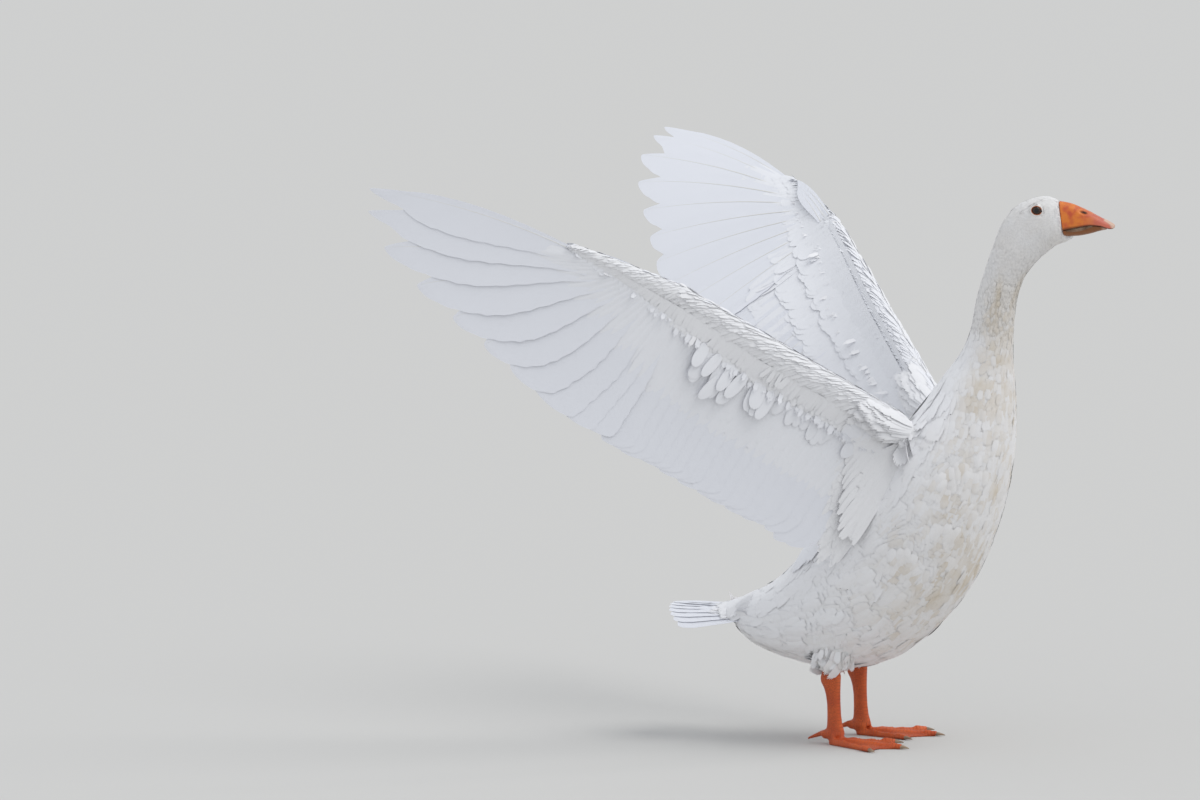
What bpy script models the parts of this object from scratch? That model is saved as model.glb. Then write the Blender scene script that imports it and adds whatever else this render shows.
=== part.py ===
"""A standing white domestic goose with both wings half open, as one still, life-size model.

The bird faces +X with its left side at +Y, and stands on z = 0. Lengths in the
constants are millimetres and angles are degrees.
"""
import math

import bmesh
import bpy
from mathutils import Matrix, Vector

MM = 0.001
GAP = 0.3                  # clearance between neighbouring solids

# Body: stations along the bird from rump to bill, in the plane of symmetry. Each row is
# back point (x, z), underside point (x, z), half width, squareness, and how much wider
# the back half of the section is than the underside half.
BODY = (
    (-190, 162, -184, 136, 20, 2.0, 0.00),
    (-164, 178, -168, 114, 44, 2.1, 0.00),
    (-130, 198, -136, 97, 66, 2.1, 0.00),
    (-97, 231, -90, 85, 84, 2.1, 0.02),
    (-61, 280, -34, 80, 98, 2.1, 0.04),
    (-26, 325, 27, 97, 105, 2.2, 0.06),
    (4, 360, 84, 143, 106, 2.2, 0.06),
    (30, 391, 124, 198, 102, 2.2, 0.06),
    (51, 415, 150, 258, 92, 2.2, 0.04),
    (64, 432, 167, 322, 77, 2.2, 0.02),
    (74, 444, 174, 380, 62, 2.1, 0.00),
    (82, 455, 174, 424, 50, 2.0, 0.00),
    (92, 466, 172, 449, 40, 2.0, 0.00),
    (105, 485, 170, 473, 32.5, 2.0, 0.00),
    (113, 507, 170, 499, 28.5, 2.0, 0.00),
    (120, 541, 173, 535, 26.5, 2.0, 0.00),
    (128, 567, 180, 559, 26.5, 2.0, 0.00),
    (135, 588, 188, 573, 27, 2.0, 0.00),
    (143, 611, 197, 584, 27.5, 2.0, -0.03),
    (150, 628, 208, 594, 27, 2.1, -0.05),
    (162, 646, 216, 601, 26, 2.1, -0.08),
    (179, 658, 222, 606.5, 25, 2.2, -0.10),
    (195, 663.5, 226, 610.5, 23.5, 2.2, -0.10),
    (209, 664.5, 228, 613.5, 20.5, 2.2, -0.06),
    (222, 658.5, 229.2, 615.4, 16.5, 2.2, 0.00),
)
RUMP, BREAST, NECK_BASE, NECK_MIDDLE, NECK_TOP, BILL_BASE = 2.0, 7.6, 11.0, 14.2, 17.6, 24.0
BODY_PARTS = (             # name, first station, last station, rings
    ("rump", 0.0, RUMP, 4),
    ("trunk", RUMP, BREAST, 9),
    ("breast", BREAST, NECK_BASE, 6),
    ("neck_lower", NECK_BASE, NECK_MIDDLE, 6),
    ("neck_upper", NECK_MIDDLE, NECK_TOP, 6),
    ("head", NECK_TOP, BILL_BASE, 14),
)
HEAD_YAW = 12.0            # the head looks a little to the bird's left
YAW_START, YAW_END = 14.0, 19.0
YAW_PIVOT_X = 150.0
RING = 20                  # points round a body section

# Bill rows: top (x, z), bottom (x, z), half width
BILL_UPPER = (
    (222.3, 658.0, 227.8, 624.2, 15.2),
    (238, 654.8, 244, 627.4, 14.2),
    (255, 647.4, 260, 630.1, 12.6),
    (272, 638.9, 272.8, 629.2, 11.2),
    (281.5, 634.2, 281, 626.2, 8.8),
    (287, 630.9, 286, 625.6, 5.0),
)
BILL_LOWER = (
    (227.9, 623.4, 229.3, 615.9, 13.2),
    (244, 626.8, 246, 616.8, 12.4),
    (260, 629.5, 259.8, 619.6, 10.8),
    (272.4, 628.6, 270.2, 622.7, 8.8),
    (278.2, 626.3, 277.4, 624.2, 5.0),
)
BILL_RING = 10

EYE = (196.0, 15.0, 647.6)  # eyeball centre before the head is turned
EYE_RADIUS = 8.2

# Legs
LEG_OUT = 48.0             # leg from the plane of symmetry
# Leg rows: x, height, half length along the bird, half width
THIGH = ((-30, 175, 44, 36), (-38, 138, 38, 31), (-43, 108, 27, 22), (-45, 84.4, 14.5, 13.5))
SHANK = ((-45.5, 84.0, 12.2, 10.8), (-46, 77, 12.4, 10.2), (-43.5, 66, 9.6, 7.6),
         (-42, 50, 8.2, 6.6), (-41, 28, 8.8, 7.2), (-40, 16, 11.0, 9.0), (-39.5, 11.2, 11.5, 9.5))
THIGH_LEAN = 6.0           # how much nearer the body's middle a thigh starts
FOOT_HEEL_X = -54.0
FOOT_TURN = 9.0            # toes turned out
HEEL_START = 0.10          # the foot starts at this part of each toe's length
TOES = ((-29.0, 84.0, 0.92), (0.0, 104.0, 1.0), (27.0, 94.0, 0.95))  # angle, length, thickness
TOE_HEIGHT, TOE_HALF = 9.0, 5.6
TOE_TAPER = (1.15, 0.62)   # toe height at the heel and at the tip, as parts of TOE_HEIGHT
WEB_HEIGHT = 2.6
EDGE_THIN = (0.6, 0.8)     # web and toe height at the foot's front edge, as parts of the height behind
WEB_REACH = 0.80           # how far out the web's edge sits between two toes
CLAW_LENGTH, CLAW_RADIUS = 11.0, 2.7
CLAW_BASE_Z = 3.1
CLAW_DROOP, CLAW_TAPER = 1.4, 0.82
HIND_TOE_LENGTH, HIND_TOE_RADIUS = 20.0, 3.8
HIND_TOE_START = (-56.0, 13.5)   # x and height
HIND_TOE_END_Z = 5.5
HIND_TOE_INWARD = 3.0      # hind toe nearer the plane of symmetry than the leg

# Tail fan
TAIL_FEATHERS = 13
TAIL_ROOT = (-140.0, 153.0)
TAIL_ROOT_HALF = 15.0
TAIL_LENGTH = 124.0
TAIL_SPREAD = 29.0
TAIL_ROOF = 9.0            # how far the outer feathers droop
TAIL_RISE = 3.0            # how far the middle feathers rise to their tips
TAIL_ROUND = 0.16          # how much shorter the outer feathers are
TAIL_THICK = (7.0, 1.4)

# Wings: named places and directions of each side
WING_CHORD_FLESH = (54.0, 57.0, 46.0, 13.0)     # shoulder, elbow, wrist, knuckle
WING_THICK_FLESH = (44.0, 33.0, 23.0, 8.0)
REAR_GAP = 1.5             # between flesh and feather row, along the chord
REAR_EDGE = 5.0            # thickness where flesh ends and feathers begin
FEATHER_EDGE = 1.1         # thickness at the feather tips
KNUCKLE = 0.37             # flesh part of the length from wrist to wing tip
PRIMARIES, SECONDARIES, TERTIALS = 10, 15, 4
OUTER_VANE = 9.0           # twice the width of the outermost primary's front vane
PRIMARY_COLUMNS = 3        # rows of points across one primary
HAND_CORNER = PRIMARIES - 2 / PRIMARY_COLUMNS   # the primary number at the hand's rear corner
FAN_FALL = 22.0            # how soon the primaries shorten with their angle
ALULA_FEATHERS, ALULA_LENGTH, ALULA_WIDTH = 3, 112.0, 26.0
ALULA_STATION = 1.05       # where the thumb leaves the hand
ALULA_CLEAR = 2.5          # between the hand and the middle of the thumb feathers
INNER_START = 0.10         # where the innermost feather sits between shoulder and wrist
TERTIAL_END = 0.34
ELBOW, WRIST_CUT = 0.45, 0.96    # where the arm is parted
ELBOW_BULGE = 0.55         # where the arm is deepest

WINGS = {
    "right": {
        "side": -1,
        "socket": (92, -40, 352),
        "shoulder": (59, -73, 407),
        "wrist": (-143, -278, 573),
        "tip": (-457, -520, 701),
        "chord_body": (-0.47, -0.29, -0.83),
        "chord_wrist": (-0.44, -0.29, -0.85),
        "chord_hand": (-0.44, -0.29, -0.85),
        "chord": 214.0,
        "inner_primary": 188.0,
        "fan_ease": 1.35,
        "bow": 10.0,
    },
    "left": {
        "side": 1,
        "socket": (92, 40, 352),
        "shoulder": (59, 73, 407),
        "wrist": (-144, 278, 595),
        "tip": (-468, 537, 674),
        "chord_body": (-0.70, 0.02, -0.71),
        "chord_wrist": (-0.66, -0.45, -0.60),
        "chord_hand": (-0.62, -0.63, -0.47),
        "chord": 224.0,
        "inner_primary": 212.0,
        "fan_ease": 1.55,
        "bow": 26.0,
    },
}

COLOURS = {
    "plumage": ((0.80, 0.80, 0.79), 0.85),
    "quills": ((0.84, 0.84, 0.84), 0.70),
    "bill": ((0.80, 0.22, 0.05), 0.40),
    "eye": ((0.02, 0.012, 0.01), 0.08),
    "legs": ((0.72, 0.14, 0.03), 0.55),
    "claw": ((0.45, 0.30, 0.20), 0.45),
}


# ---------------------------------------------------------------- helpers

def spline(rows, t):
    """Smooth value between rows; whole numbers of t are the rows themselves."""
    last = len(rows) - 1
    i = min(max(int(t), 0), last - 1)
    f = t - i
    before, start, end, after = (rows[min(max(i + k, 0), last)] for k in (-1, 0, 1, 2))
    return [0.5 * (2 * q + (r - p) * f + (2 * p - 5 * q + 4 * r - s) * f ** 2
                   + (3 * q - p - 3 * r + s) * f ** 3)
            for p, q, r, s in zip(before, start, end, after)]


def mix(a, b, f):
    return a + (b - a) * f


def smoothstep(f):
    f = min(max(f, 0.0), 1.0)
    return f * f * (3 - 2 * f)


def steps(start, end, count):
    return [mix(start, end, k / count) for k in range(count + 1)]


def power_circle(angle, squareness):
    """A point on a rounded square of unit size, a circle at squareness 2."""
    c, s = math.cos(angle), math.sin(angle)
    e = 2.0 / squareness
    return math.copysign(abs(c) ** e, c), math.copysign(abs(s) ** e, s)


def material(kind):
    name = "goose_" + kind
    if name in bpy.data.materials:
        return bpy.data.materials[name]
    colour, rough = COLOURS[kind]
    made = bpy.data.materials.new(name)
    made.use_nodes = True
    shader = made.node_tree.nodes["Principled BSDF"]
    shader.inputs["Base Color"].default_value = (*colour, 1)
    shader.inputs["Roughness"].default_value = rough
    shader.inputs["Metallic"].default_value = 0.0
    return made


def loft(name, rings, kind, collection):
    """One closed solid through rings of equal point count, each end closed by a fan."""
    bm = bmesh.new()
    rows = [[bm.verts.new(Vector(p) * MM) for p in ring] for ring in rings]
    count = len(rows[0])
    for low, high in zip(rows, rows[1:]):
        for k in range(count):
            n = (k + 1) % count
            bm.faces.new((low[k], low[n], high[n], high[k]))
    for row in (rows[0], rows[-1]):
        centre = bm.verts.new(sum((v.co for v in row), Vector()) / count)
        for k in range(count):
            bm.faces.new((row[k], row[(k + 1) % count], centre))
    bmesh.ops.recalc_face_normals(bm, faces=bm.faces)
    mesh = bpy.data.meshes.new(name)
    bm.to_mesh(mesh)
    bm.free()
    mesh.shade_smooth()
    mesh.set_sharp_from_angle(angle=math.radians(40))
    mesh.materials.append(material(kind))
    made = bpy.data.objects.new(name, mesh)
    collection.objects.link(made)
    return made


def cut(target, cutter):
    """Take the cutter's space out of the target."""
    boolean = target.modifiers.new("cut_" + cutter.name, "BOOLEAN")
    boolean.operation = "DIFFERENCE"
    boolean.solver = "EXACT"
    boolean.object = cutter


def as_cutter(obj):
    obj.hide_render = True
    obj.display_type = "WIRE"
    return obj


# ---------------------------------------------------------------- body

def turn_head(point, t):
    """Swing a point with the neck and head about the upright axis in the neck."""
    yaw = math.radians(HEAD_YAW) * smoothstep((t - YAW_START) / (YAW_END - YAW_START))
    pivot = Vector((YAW_PIVOT_X, 0, 0))
    return Matrix.Rotation(yaw, 3, "Z") @ (Vector(point) - pivot) + pivot


def body_ring(t, grow=0.0, shift=0.0):
    """Section of the body at station t, grown outwards and shifted along the body."""
    bx, bz, ux, uz, half, square, bias = spline(BODY, t)
    back, under = Vector((bx, 0, bz)), Vector((ux, 0, uz))
    centre = (back + under) / 2
    up = back - centre
    up *= 1 + grow / up.length
    ahead = Vector((0, 1, 0)).cross(up).normalized()
    half += grow
    ring = []
    for k in range(RING):
        c, s = power_circle(2 * math.pi * k / RING, square)
        side = half * s * (1 + bias * c)
        ring.append(turn_head(centre + up * c + Vector((0, side, 0)) + ahead * shift, t))
    return ring


def body_solid(part, collection):
    """One length of the body, parted from the next by a thin cut."""
    name, start, end, count = part
    rings = [body_ring(t) for t in steps(start, end, count)]
    if start > 0:
        rings[0] = body_ring(start, shift=GAP / 2)
    if end < BILL_BASE:
        rings[-1] = body_ring(end, shift=-GAP / 2)
    return loft(name, rings, "plumage", collection)


def body_space(parts, cutters):
    """The room that the body and the gap round it take, as one cutter."""
    rings = [body_ring(t, grow=2 * GAP)
             for _, start, end, count in parts for t in steps(start, end, count)[:-1]]
    rings[0] = body_ring(0, grow=2 * GAP, shift=-GAP)
    space = loft("body_space", rings, "plumage", cutters)
    return as_cutter(space)


def arch_ring(row, upright):
    """Section of a bill half: a dome on a flat, standing up or hanging down."""
    tx, tz, bx, bz, half = row
    top, bottom = Vector((tx, 0, tz)), Vector((bx, 0, bz))
    flat, crown = (bottom, top) if upright else (top, bottom)
    ring = []
    for k in range(BILL_RING + 1):
        angle = math.pi * k / BILL_RING
        c, s = power_circle(angle, 2.3)
        ring.append(flat + (crown - flat) * s + Vector((0, half * c, 0)))
    for k in (1, 0, -1):
        ring.append(flat + Vector((0, -half * 0.5 * k, 0)))
    return [turn_head(p, BILL_BASE) for p in ring]


def make_bill(collection):
    for name, rows, upright in (("bill_upper", BILL_UPPER, True), ("bill_lower", BILL_LOWER, False)):
        rings = [arch_ring(spline(rows, t), upright) for t in steps(0, len(rows) - 1, 2 * (len(rows) - 1))]
        loft(name, rings, "bill", collection)


def ball(name, centre, radius, kind, collection):
    bm = bmesh.new()
    bmesh.ops.create_uvsphere(bm, u_segments=12, v_segments=8, radius=radius * MM)
    bmesh.ops.translate(bm, verts=bm.verts, vec=Vector(centre) * MM)
    mesh = bpy.data.meshes.new(name)
    bm.to_mesh(mesh)
    bm.free()
    mesh.shade_smooth()
    mesh.materials.append(material(kind))
    made = bpy.data.objects.new(name, mesh)
    collection.objects.link(made)
    return made


def make_body(collection, cutters):
    *lengths, head = (body_solid(part, collection) for part in BODY_PARTS)
    make_bill(collection)
    for side, sign in (("left", 1), ("right", -1)):
        centre = turn_head((EYE[0], sign * EYE[1], EYE[2]), BILL_BASE)
        ball("eye_" + side, centre, EYE_RADIUS, "eye", collection)
        socket = ball("socket_" + side, centre, EYE_RADIUS + GAP, "eye", cutters)
        cut(head, as_cutter(socket))


# ---------------------------------------------------------------- legs

def oval_ring(x, y, z, along, across, count=14):
    ring = []
    for k in range(count):
        c, s = power_circle(2 * math.pi * k / count, 2)
        ring.append((x + along * c, y + across * s, z))
    return ring


def foot_profile(angle):
    """Reach of the foot's front edge in a direction from the heel."""
    left, middle, right = TOES
    inner, outer = (left, middle) if angle < middle[0] else (middle, right)
    f = (angle - inner[0]) / (outer[0] - inner[0])
    dip = math.sin(math.pi * min(max(f, 0), 1))
    return mix(inner[1], outer[1], f) * (1 - (1 - WEB_REACH) * dip)


def make_foot(side, sign, collection):
    """Three toes joined by a web: rays from the heel, flat on the floor below."""
    heel = Vector((FOOT_HEEL_X, sign * LEG_OUT, 0))
    turn = sign * FOOT_TURN
    inner, middle, outer = TOES
    angles = []
    for a, b in ((inner, middle), (middle, outer)):
        angles += steps(a[0], b[0], 6)[:-1]
    angles.append(outer[0])
    rings = []
    # Each ring is one section across the foot, from the heel pad to the tips
    for f in steps(HEEL_START, 1, 6):
        top, bottom = [], []
        for angle in angles:
            reach = foot_profile(angle) * f
            near = min(TOES, key=lambda toe: abs(toe[0] - angle))
            off = abs(math.radians(angle - near[0])) * reach / (TOE_HALF * near[2])
            toe_high = TOE_HEIGHT * near[2] * mix(*TOE_TAPER, f)
            ridge = max(0.0, 1 - off * off) ** 0.5
            web_thin, toe_thin = EDGE_THIN if f == 1 else (1.0, 1.0)
            high = mix(WEB_HEIGHT * web_thin, toe_high * toe_thin, ridge)
            a = math.radians(turn + sign * angle)
            spot = heel + Vector((math.cos(a), math.sin(a), 0)) * reach
            top.append(spot + Vector((0, 0, high)))
            bottom.append(spot)
        rings.append(top + bottom[::-1])
    return loft("foot_" + side, rings, "legs", collection)


def make_claw(name, base, direction, collection):
    """A short curved nail, thick where it leaves the toe."""
    ahead = Vector(direction).normalized()
    across = ahead.cross(Vector((0, 0, 1))).normalized()
    rings = []
    for f in (0.0, 0.35, 0.7, 1.0):
        middle = Vector(base) + ahead * CLAW_LENGTH * f - Vector((0, 0, CLAW_DROOP * f * f))
        radius = CLAW_RADIUS * (1 - CLAW_TAPER * f)
        ring = []
        for k in range(8):
            c, s = power_circle(2 * math.pi * k / 8, 2)
            ring.append(middle + across * radius * c + Vector((0, 0, radius * s)))
        rings.append(ring)
    return loft(name, rings, "claw", collection)


def make_leg(side, sign, body_cutter, collection):
    y = sign * LEG_OUT
    thigh_rings = []
    for t in steps(0, len(THIGH) - 1, 7):
        x, z, along, across = spline(THIGH, t)
        lean = sign * THIGH_LEAN * (1 - t / (len(THIGH) - 1))
        thigh_rings.append(oval_ring(x, y - lean, z, along, across))
    thigh = loft("thigh_" + side, thigh_rings, "plumage", collection)
    cut(thigh, body_cutter)
    shank_rings = []
    for t in steps(0, len(SHANK) - 1, 10):
        x, z, along, across = spline(SHANK, t)
        shank_rings.append(oval_ring(x, y, z, along, across, 12))
    loft("shank_" + side, shank_rings, "legs", collection)
    make_foot(side, sign, collection)
    turn = sign * FOOT_TURN
    for label, (angle, length, size) in zip(("inner", "middle", "outer"), TOES):
        a = math.radians(turn + sign * angle)
        ahead = Vector((math.cos(a), math.sin(a), 0))
        base = Vector((FOOT_HEEL_X, y, CLAW_BASE_Z)) + ahead * (length + GAP)
        make_claw(f"claw_{side}_{label}", base, ahead, collection)


def make_hind_toe(side, sign, collection):
    """The small toe behind the foot, just clear of the floor."""
    y = sign * (LEG_OUT - HIND_TOE_INWARD)
    start_x, start_z = HIND_TOE_START
    rings = []
    for f in steps(0, 1, 4):
        radius = HIND_TOE_RADIUS * (1 - 0.6 * f)
        middle = Vector((start_x - HIND_TOE_LENGTH * f, y, mix(start_z, HIND_TOE_END_Z, f)))
        ring = []
        for k in range(8):
            c, s = power_circle(2 * math.pi * k / 8, 2)
            ring.append(middle + Vector((0, radius * c, radius * s)))
        rings.append(ring)
    loft("hind_toe_" + side, rings, "legs", collection)


# ---------------------------------------------------------------- feather sheets

def tip_outline(f, depth):
    """How far a row of feathers reaches at fraction f between two gaps: round tips."""
    return 1 - depth * (abs(2 * f - 1) ** 2.4)


def sheet(name, count, root, tip, normal, depth, bend, per_feather, rows, kind, collection,
          thick=(REAR_EDGE - 1.0, FEATHER_EDGE)):
    """A row of overlapping feathers as one thin solid.

    root, tip and normal give points and directions for a feather number, which may
    fall between two feathers; depth gives how deep the row is notched there.
    """
    rings = []
    for column in range(count * per_feather + 1):
        number = column / per_feather
        inside = number - int(min(number, count - 1e-6))
        start, end, up = Vector(root(number)), Vector(tip(number)), Vector(normal(number)).normalized()
        end = mix(start, end, tip_outline(inside, depth(number)))
        top, bottom = [], []
        for f in steps(0, 1, rows):
            middle = mix(start, end, f) + up * (bend * 4 * f * (1 - f))
            half = mix(thick[0], thick[1], f ** 0.6) / 2
            top.append(middle + up * half)
            bottom.append(middle - up * half)
        rings.append(top + bottom[::-1])
    return loft(name, rings, kind, collection)


def make_tail(body_cutter, collection):
    def angle(number):
        return math.radians(TAIL_SPREAD) * (2 * number / TAIL_FEATHERS - 1)

    def root(number):
        side = 2 * number / TAIL_FEATHERS - 1
        return TAIL_ROOT[0], TAIL_ROOT_HALF * side, TAIL_ROOT[1] - TAIL_ROOF * 0.3 * side * side

    def tip(number):
        side = 2 * number / TAIL_FEATHERS - 1
        a = angle(number)
        reach = TAIL_LENGTH * (1 - TAIL_ROUND * side * side)
        start = Vector(root(number))
        rise = TAIL_RISE - TAIL_ROOF * side * side
        return start + Vector((-math.cos(a) * reach, math.sin(a) * reach, rise))

    def normal(number):
        side = 2 * number / TAIL_FEATHERS - 1
        return 0.03, 0.25 * side, 1

    tail = sheet("tail", TAIL_FEATHERS, root, tip, normal, lambda n: 0.06, 2.0, 3, 2, "quills",
                 collection, thick=TAIL_THICK)
    cut(tail, body_cutter)


# ---------------------------------------------------------------- wings

class Wing:
    """Places on one wing, measured along the arm (0 shoulder, 1 wrist, 2 wing tip)."""

    def __init__(self, side):
        data = WINGS[side]
        self.side = side
        self.sign = data["side"]
        self.socket = Vector(data["socket"])
        self.shoulder = Vector(data["shoulder"])
        self.wrist = Vector(data["wrist"])
        self.tip = Vector(data["tip"])
        self.chords = [Vector(data[key]).normalized() for key in ("chord_body", "chord_wrist", "chord_hand")]
        self.chord_length = data["chord"]
        self.inner_primary = data["inner_primary"]
        self.span_hand = (self.tip - self.wrist).normalized()
        self.span_arm = (self.wrist - self.shoulder).normalized()
        self.hand_length = (self.tip - self.wrist).length
        self.fan_ease = data["fan_ease"]
        self.bow = data["bow"]
        self.fan = math.degrees(self.chords[1].angle(self.span_hand)) - 0.2

    def edge(self, s):
        """The leading edge."""
        if s <= 1:
            return mix(self.shoulder, self.wrist, s)
        ahead = self.bow * math.sin(math.pi * min(s - 1, 1))
        return mix(self.wrist, self.tip, s - 1) - self.chord(s) * ahead

    def chord(self, s):
        """Direction from the leading edge to the trailing edge."""
        if s <= 1:
            return mix(self.chords[0], self.chords[1], smoothstep(s)).normalized()
        return mix(self.chords[1], self.square(1.0), smoothstep((s - 1) / KNUCKLE)).normalized()

    def square(self, f):
        """Direction square to the hand, in the plane of the inner (0) to the outer (1) primaries."""
        across = mix(self.chords[1], self.chords[2], f)
        return (across - self.span_hand * across.dot(self.span_hand)).normalized()

    def up(self, s):
        """Direction out of the wing's upper side."""
        span = mix(self.span_arm, self.span_hand, smoothstep((s - 0.7) / 0.6))
        return (span.cross(self.chord(s)) * self.sign).normalized()

    def flesh(self, s):
        """Depth from front to back, and thickness, of the fleshy part."""
        keys = ((0, 0), (ELBOW_BULGE, 1), (1.0, 2), (1 + KNUCKLE, 3))
        for (a, i), (b, j) in zip(keys, keys[1:]):
            if s <= b:
                f = smoothstep((s - a) / (b - a)) if j < 3 else (s - a) / (b - a)
                return (mix(WING_CHORD_FLESH[i], WING_CHORD_FLESH[j], f),
                        mix(WING_THICK_FLESH[i], WING_THICK_FLESH[j], f))
        return WING_CHORD_FLESH[3], WING_THICK_FLESH[3]

    def rear(self, s):
        """Where the fleshy part ends and the feathers begin."""
        return self.edge(s) + self.chord(s) * (self.flesh(s)[0] + REAR_GAP)

    def section(self, s, shift=0.0):
        """Teardrop section of the fleshy part, blunt behind."""
        depth, thick = self.flesh(s)
        edge, back, up = self.edge(s), self.chord(s), self.up(s)
        span = self.span_arm if s <= 1 else self.span_hand
        edge = edge + span * shift
        fractions = (0.0, 0.06, 0.20, 0.42, 0.68, 1.0)
        upper, lower = [], []
        for f in fractions:
            rise = math.sqrt(min(f / 0.32, 1.0)) if f < 0.32 else 1 - smoothstep((f - 0.32) / 0.68)
            edge_half = 0.0 if f == 0 else REAR_EDGE / 2
            half = max(thick / 2 * rise, edge_half)
            spot = edge + back * depth * f
            upper.append(spot + up * half)
            lower.append(spot - up * half)
        return upper + lower[:0:-1]

    def primary_angle(self, number):
        """Turn of a primary from the line of the hand; number 0 is innermost, 10 outermost."""
        f = max(1 - number / (PRIMARIES - 0.5), 0.0)
        return self.fan * f ** self.fan_ease

    def primary_tip(self, number):
        angle = self.primary_angle(number)
        reach = self.inner_primary + (self.hand_length - self.inner_primary) / (1 + (angle / FAN_FALL) ** 2)
        a = math.radians(angle)
        across = self.square(smoothstep(number / PRIMARIES))
        tip = self.wrist + (self.span_hand * math.cos(a) + across * math.sin(a)) * reach
        past = max(number - (PRIMARIES - 0.5), 0.0)
        return tip - across * past * OUTER_VANE

    def hand_station(self, number):
        """Where along the hand a primary is rooted."""
        return mix(1.006, 1 + KNUCKLE, min(number / HAND_CORNER, 1.0))

    def primary_root(self, number):
        """Along the back of the hand, and round its end for the outermost primary."""
        if number < HAND_CORNER:
            return self.rear(self.hand_station(number))
        end = 1 + KNUCKLE
        front = self.edge(end) + self.chord(end) * REAR_GAP
        round_end = (number - HAND_CORNER) / (PRIMARIES - HAND_CORNER)
        return mix(self.rear(end), front, round_end) + self.span_hand * 2 * GAP

    def trailing(self, s):
        """End of the feather row along the arm."""
        reach = self.chord_length * (1 - 0.03 * math.sin(math.pi * s))
        return self.edge(s) + self.chord(s) * reach


def make_wing(side, body_cutter, collection):
    wing = Wing(side)
    prefix = f"wing_{side}_"

    # Fleshy parts
    root = [wing.socket + (p - wing.edge(0)) * 0.7 for p in wing.section(0)]
    upper_arm = [root] + [wing.section(s) for s in steps(0, ELBOW - 0.01, 4)] + [wing.section(ELBOW, -GAP / 2)]
    forearm = [wing.section(ELBOW, GAP / 2)]
    forearm += [wing.section(s) for s in steps(ELBOW + 0.05, WRIST_CUT - 0.04, 5)]
    forearm.append(wing.section(WRIST_CUT, -GAP))
    hand = [wing.section(WRIST_CUT, GAP), wing.section(1.0)]
    hand += [wing.section(1 + KNUCKLE * f) for f in steps(0.05, 1, 10)]
    arm = loft(prefix + "upper_arm", upper_arm, "plumage", collection)
    cut(arm, body_cutter)
    loft(prefix + "forearm", forearm, "plumage", collection)
    loft(prefix + "hand", hand, "plumage", collection)

    # Feather rows along the arm
    gap = GAP / wing.chord_length

    def inner_row(label, first, last, count, depth, per_feather):
        def station(number):
            return mix(first + gap, last - gap, number / count)
        sheet(prefix + label, count, lambda n: wing.rear(station(n)), lambda n: wing.trailing(station(n)),
              lambda n: wing.up(station(n)), lambda n: depth, 5.0, per_feather, 3, "quills", collection)

    inner_row("tertials", INNER_START, TERTIAL_END, TERTIALS, 0.05, 3)
    inner_row("secondaries", TERTIAL_END, 1.0, SECONDARIES, 0.035, 2)

    # Thumb feathers, lying on the upper side of the hand
    def on_hand(s, back):
        return wing.edge(s) + wing.chord(s) * back + wing.up(s) * (wing.flesh(s)[1] / 2 + ALULA_CLEAR)

    def thumb_root(number):
        return on_hand(ALULA_STATION, mix(ALULA_WIDTH, 3.0, number / ALULA_FEATHERS))

    def thumb_tip(number):
        f = number / ALULA_FEATHERS
        s = ALULA_STATION + ALULA_LENGTH * mix(0.72, 1.0, f) / wing.hand_length
        return on_hand(s, mix(ALULA_WIDTH * 0.7, 2.0, f))

    sheet(prefix + "alula", ALULA_FEATHERS, thumb_root, thumb_tip, lambda n: wing.up(1.15),
          lambda n: 0.08, 1.0, 3, 3, "quills", collection, thick=(3.0, 1.2))

    # Primaries
    sheet(prefix + "primaries", PRIMARIES, wing.primary_root, wing.primary_tip,
          lambda n: wing.up(wing.hand_station(n)),
          lambda n: mix(0.04, 0.20, smoothstep(n / PRIMARIES)), 6.0, PRIMARY_COLUMNS, 5,
          "quills", collection)


def set_origin(collection, cutters):
    """Hang every piece on one empty that brings the floor below the middle to the origin."""
    bpy.context.view_layer.update()
    corners = [obj.matrix_world @ Vector(corner) for obj in collection.objects for corner in obj.bound_box]
    middle = [(min(c[i] for c in corners) + max(c[i] for c in corners)) / 2 for i in (0, 1)]
    base = bpy.data.objects.new("goose_origin", None)
    base.location = (-middle[0], -middle[1], 0)
    pieces = [*collection.objects, *cutters.objects]
    collection.objects.link(base)
    for obj in pieces:
        obj.parent = base


def main():
    for old in list(bpy.data.objects):
        bpy.data.objects.remove(old)
    goose = bpy.data.collections.new("goose")
    cutters = bpy.data.collections.new("goose_cutters")
    for made in (goose, cutters):
        bpy.context.scene.collection.children.link(made)
    make_body(goose, cutters)
    body_cutter = body_space(BODY_PARTS[:4], cutters)
    for side, sign in (("left", 1), ("right", -1)):
        make_leg(side, sign, body_cutter, goose)
        make_hind_toe(side, sign, goose)
        make_wing(side, body_cutter, goose)
    make_tail(body_cutter, goose)
    set_origin(goose, cutters)


main()
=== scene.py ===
"""Looks of a standing white domestic goose with both wings half open.

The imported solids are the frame. One skin takes the place of the flesh nodes, and feathers
of solid mesh lie over it. Tables are in millimetres in the bird's own frame, where the bird
faces +X with its left side at +Y and stands on z = 0. place() brings a point to the frame.
"""
import math
import random

import bmesh
import bpy
import numpy as np
from mathutils import Matrix, Vector, bvhtree, kdtree


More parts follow.
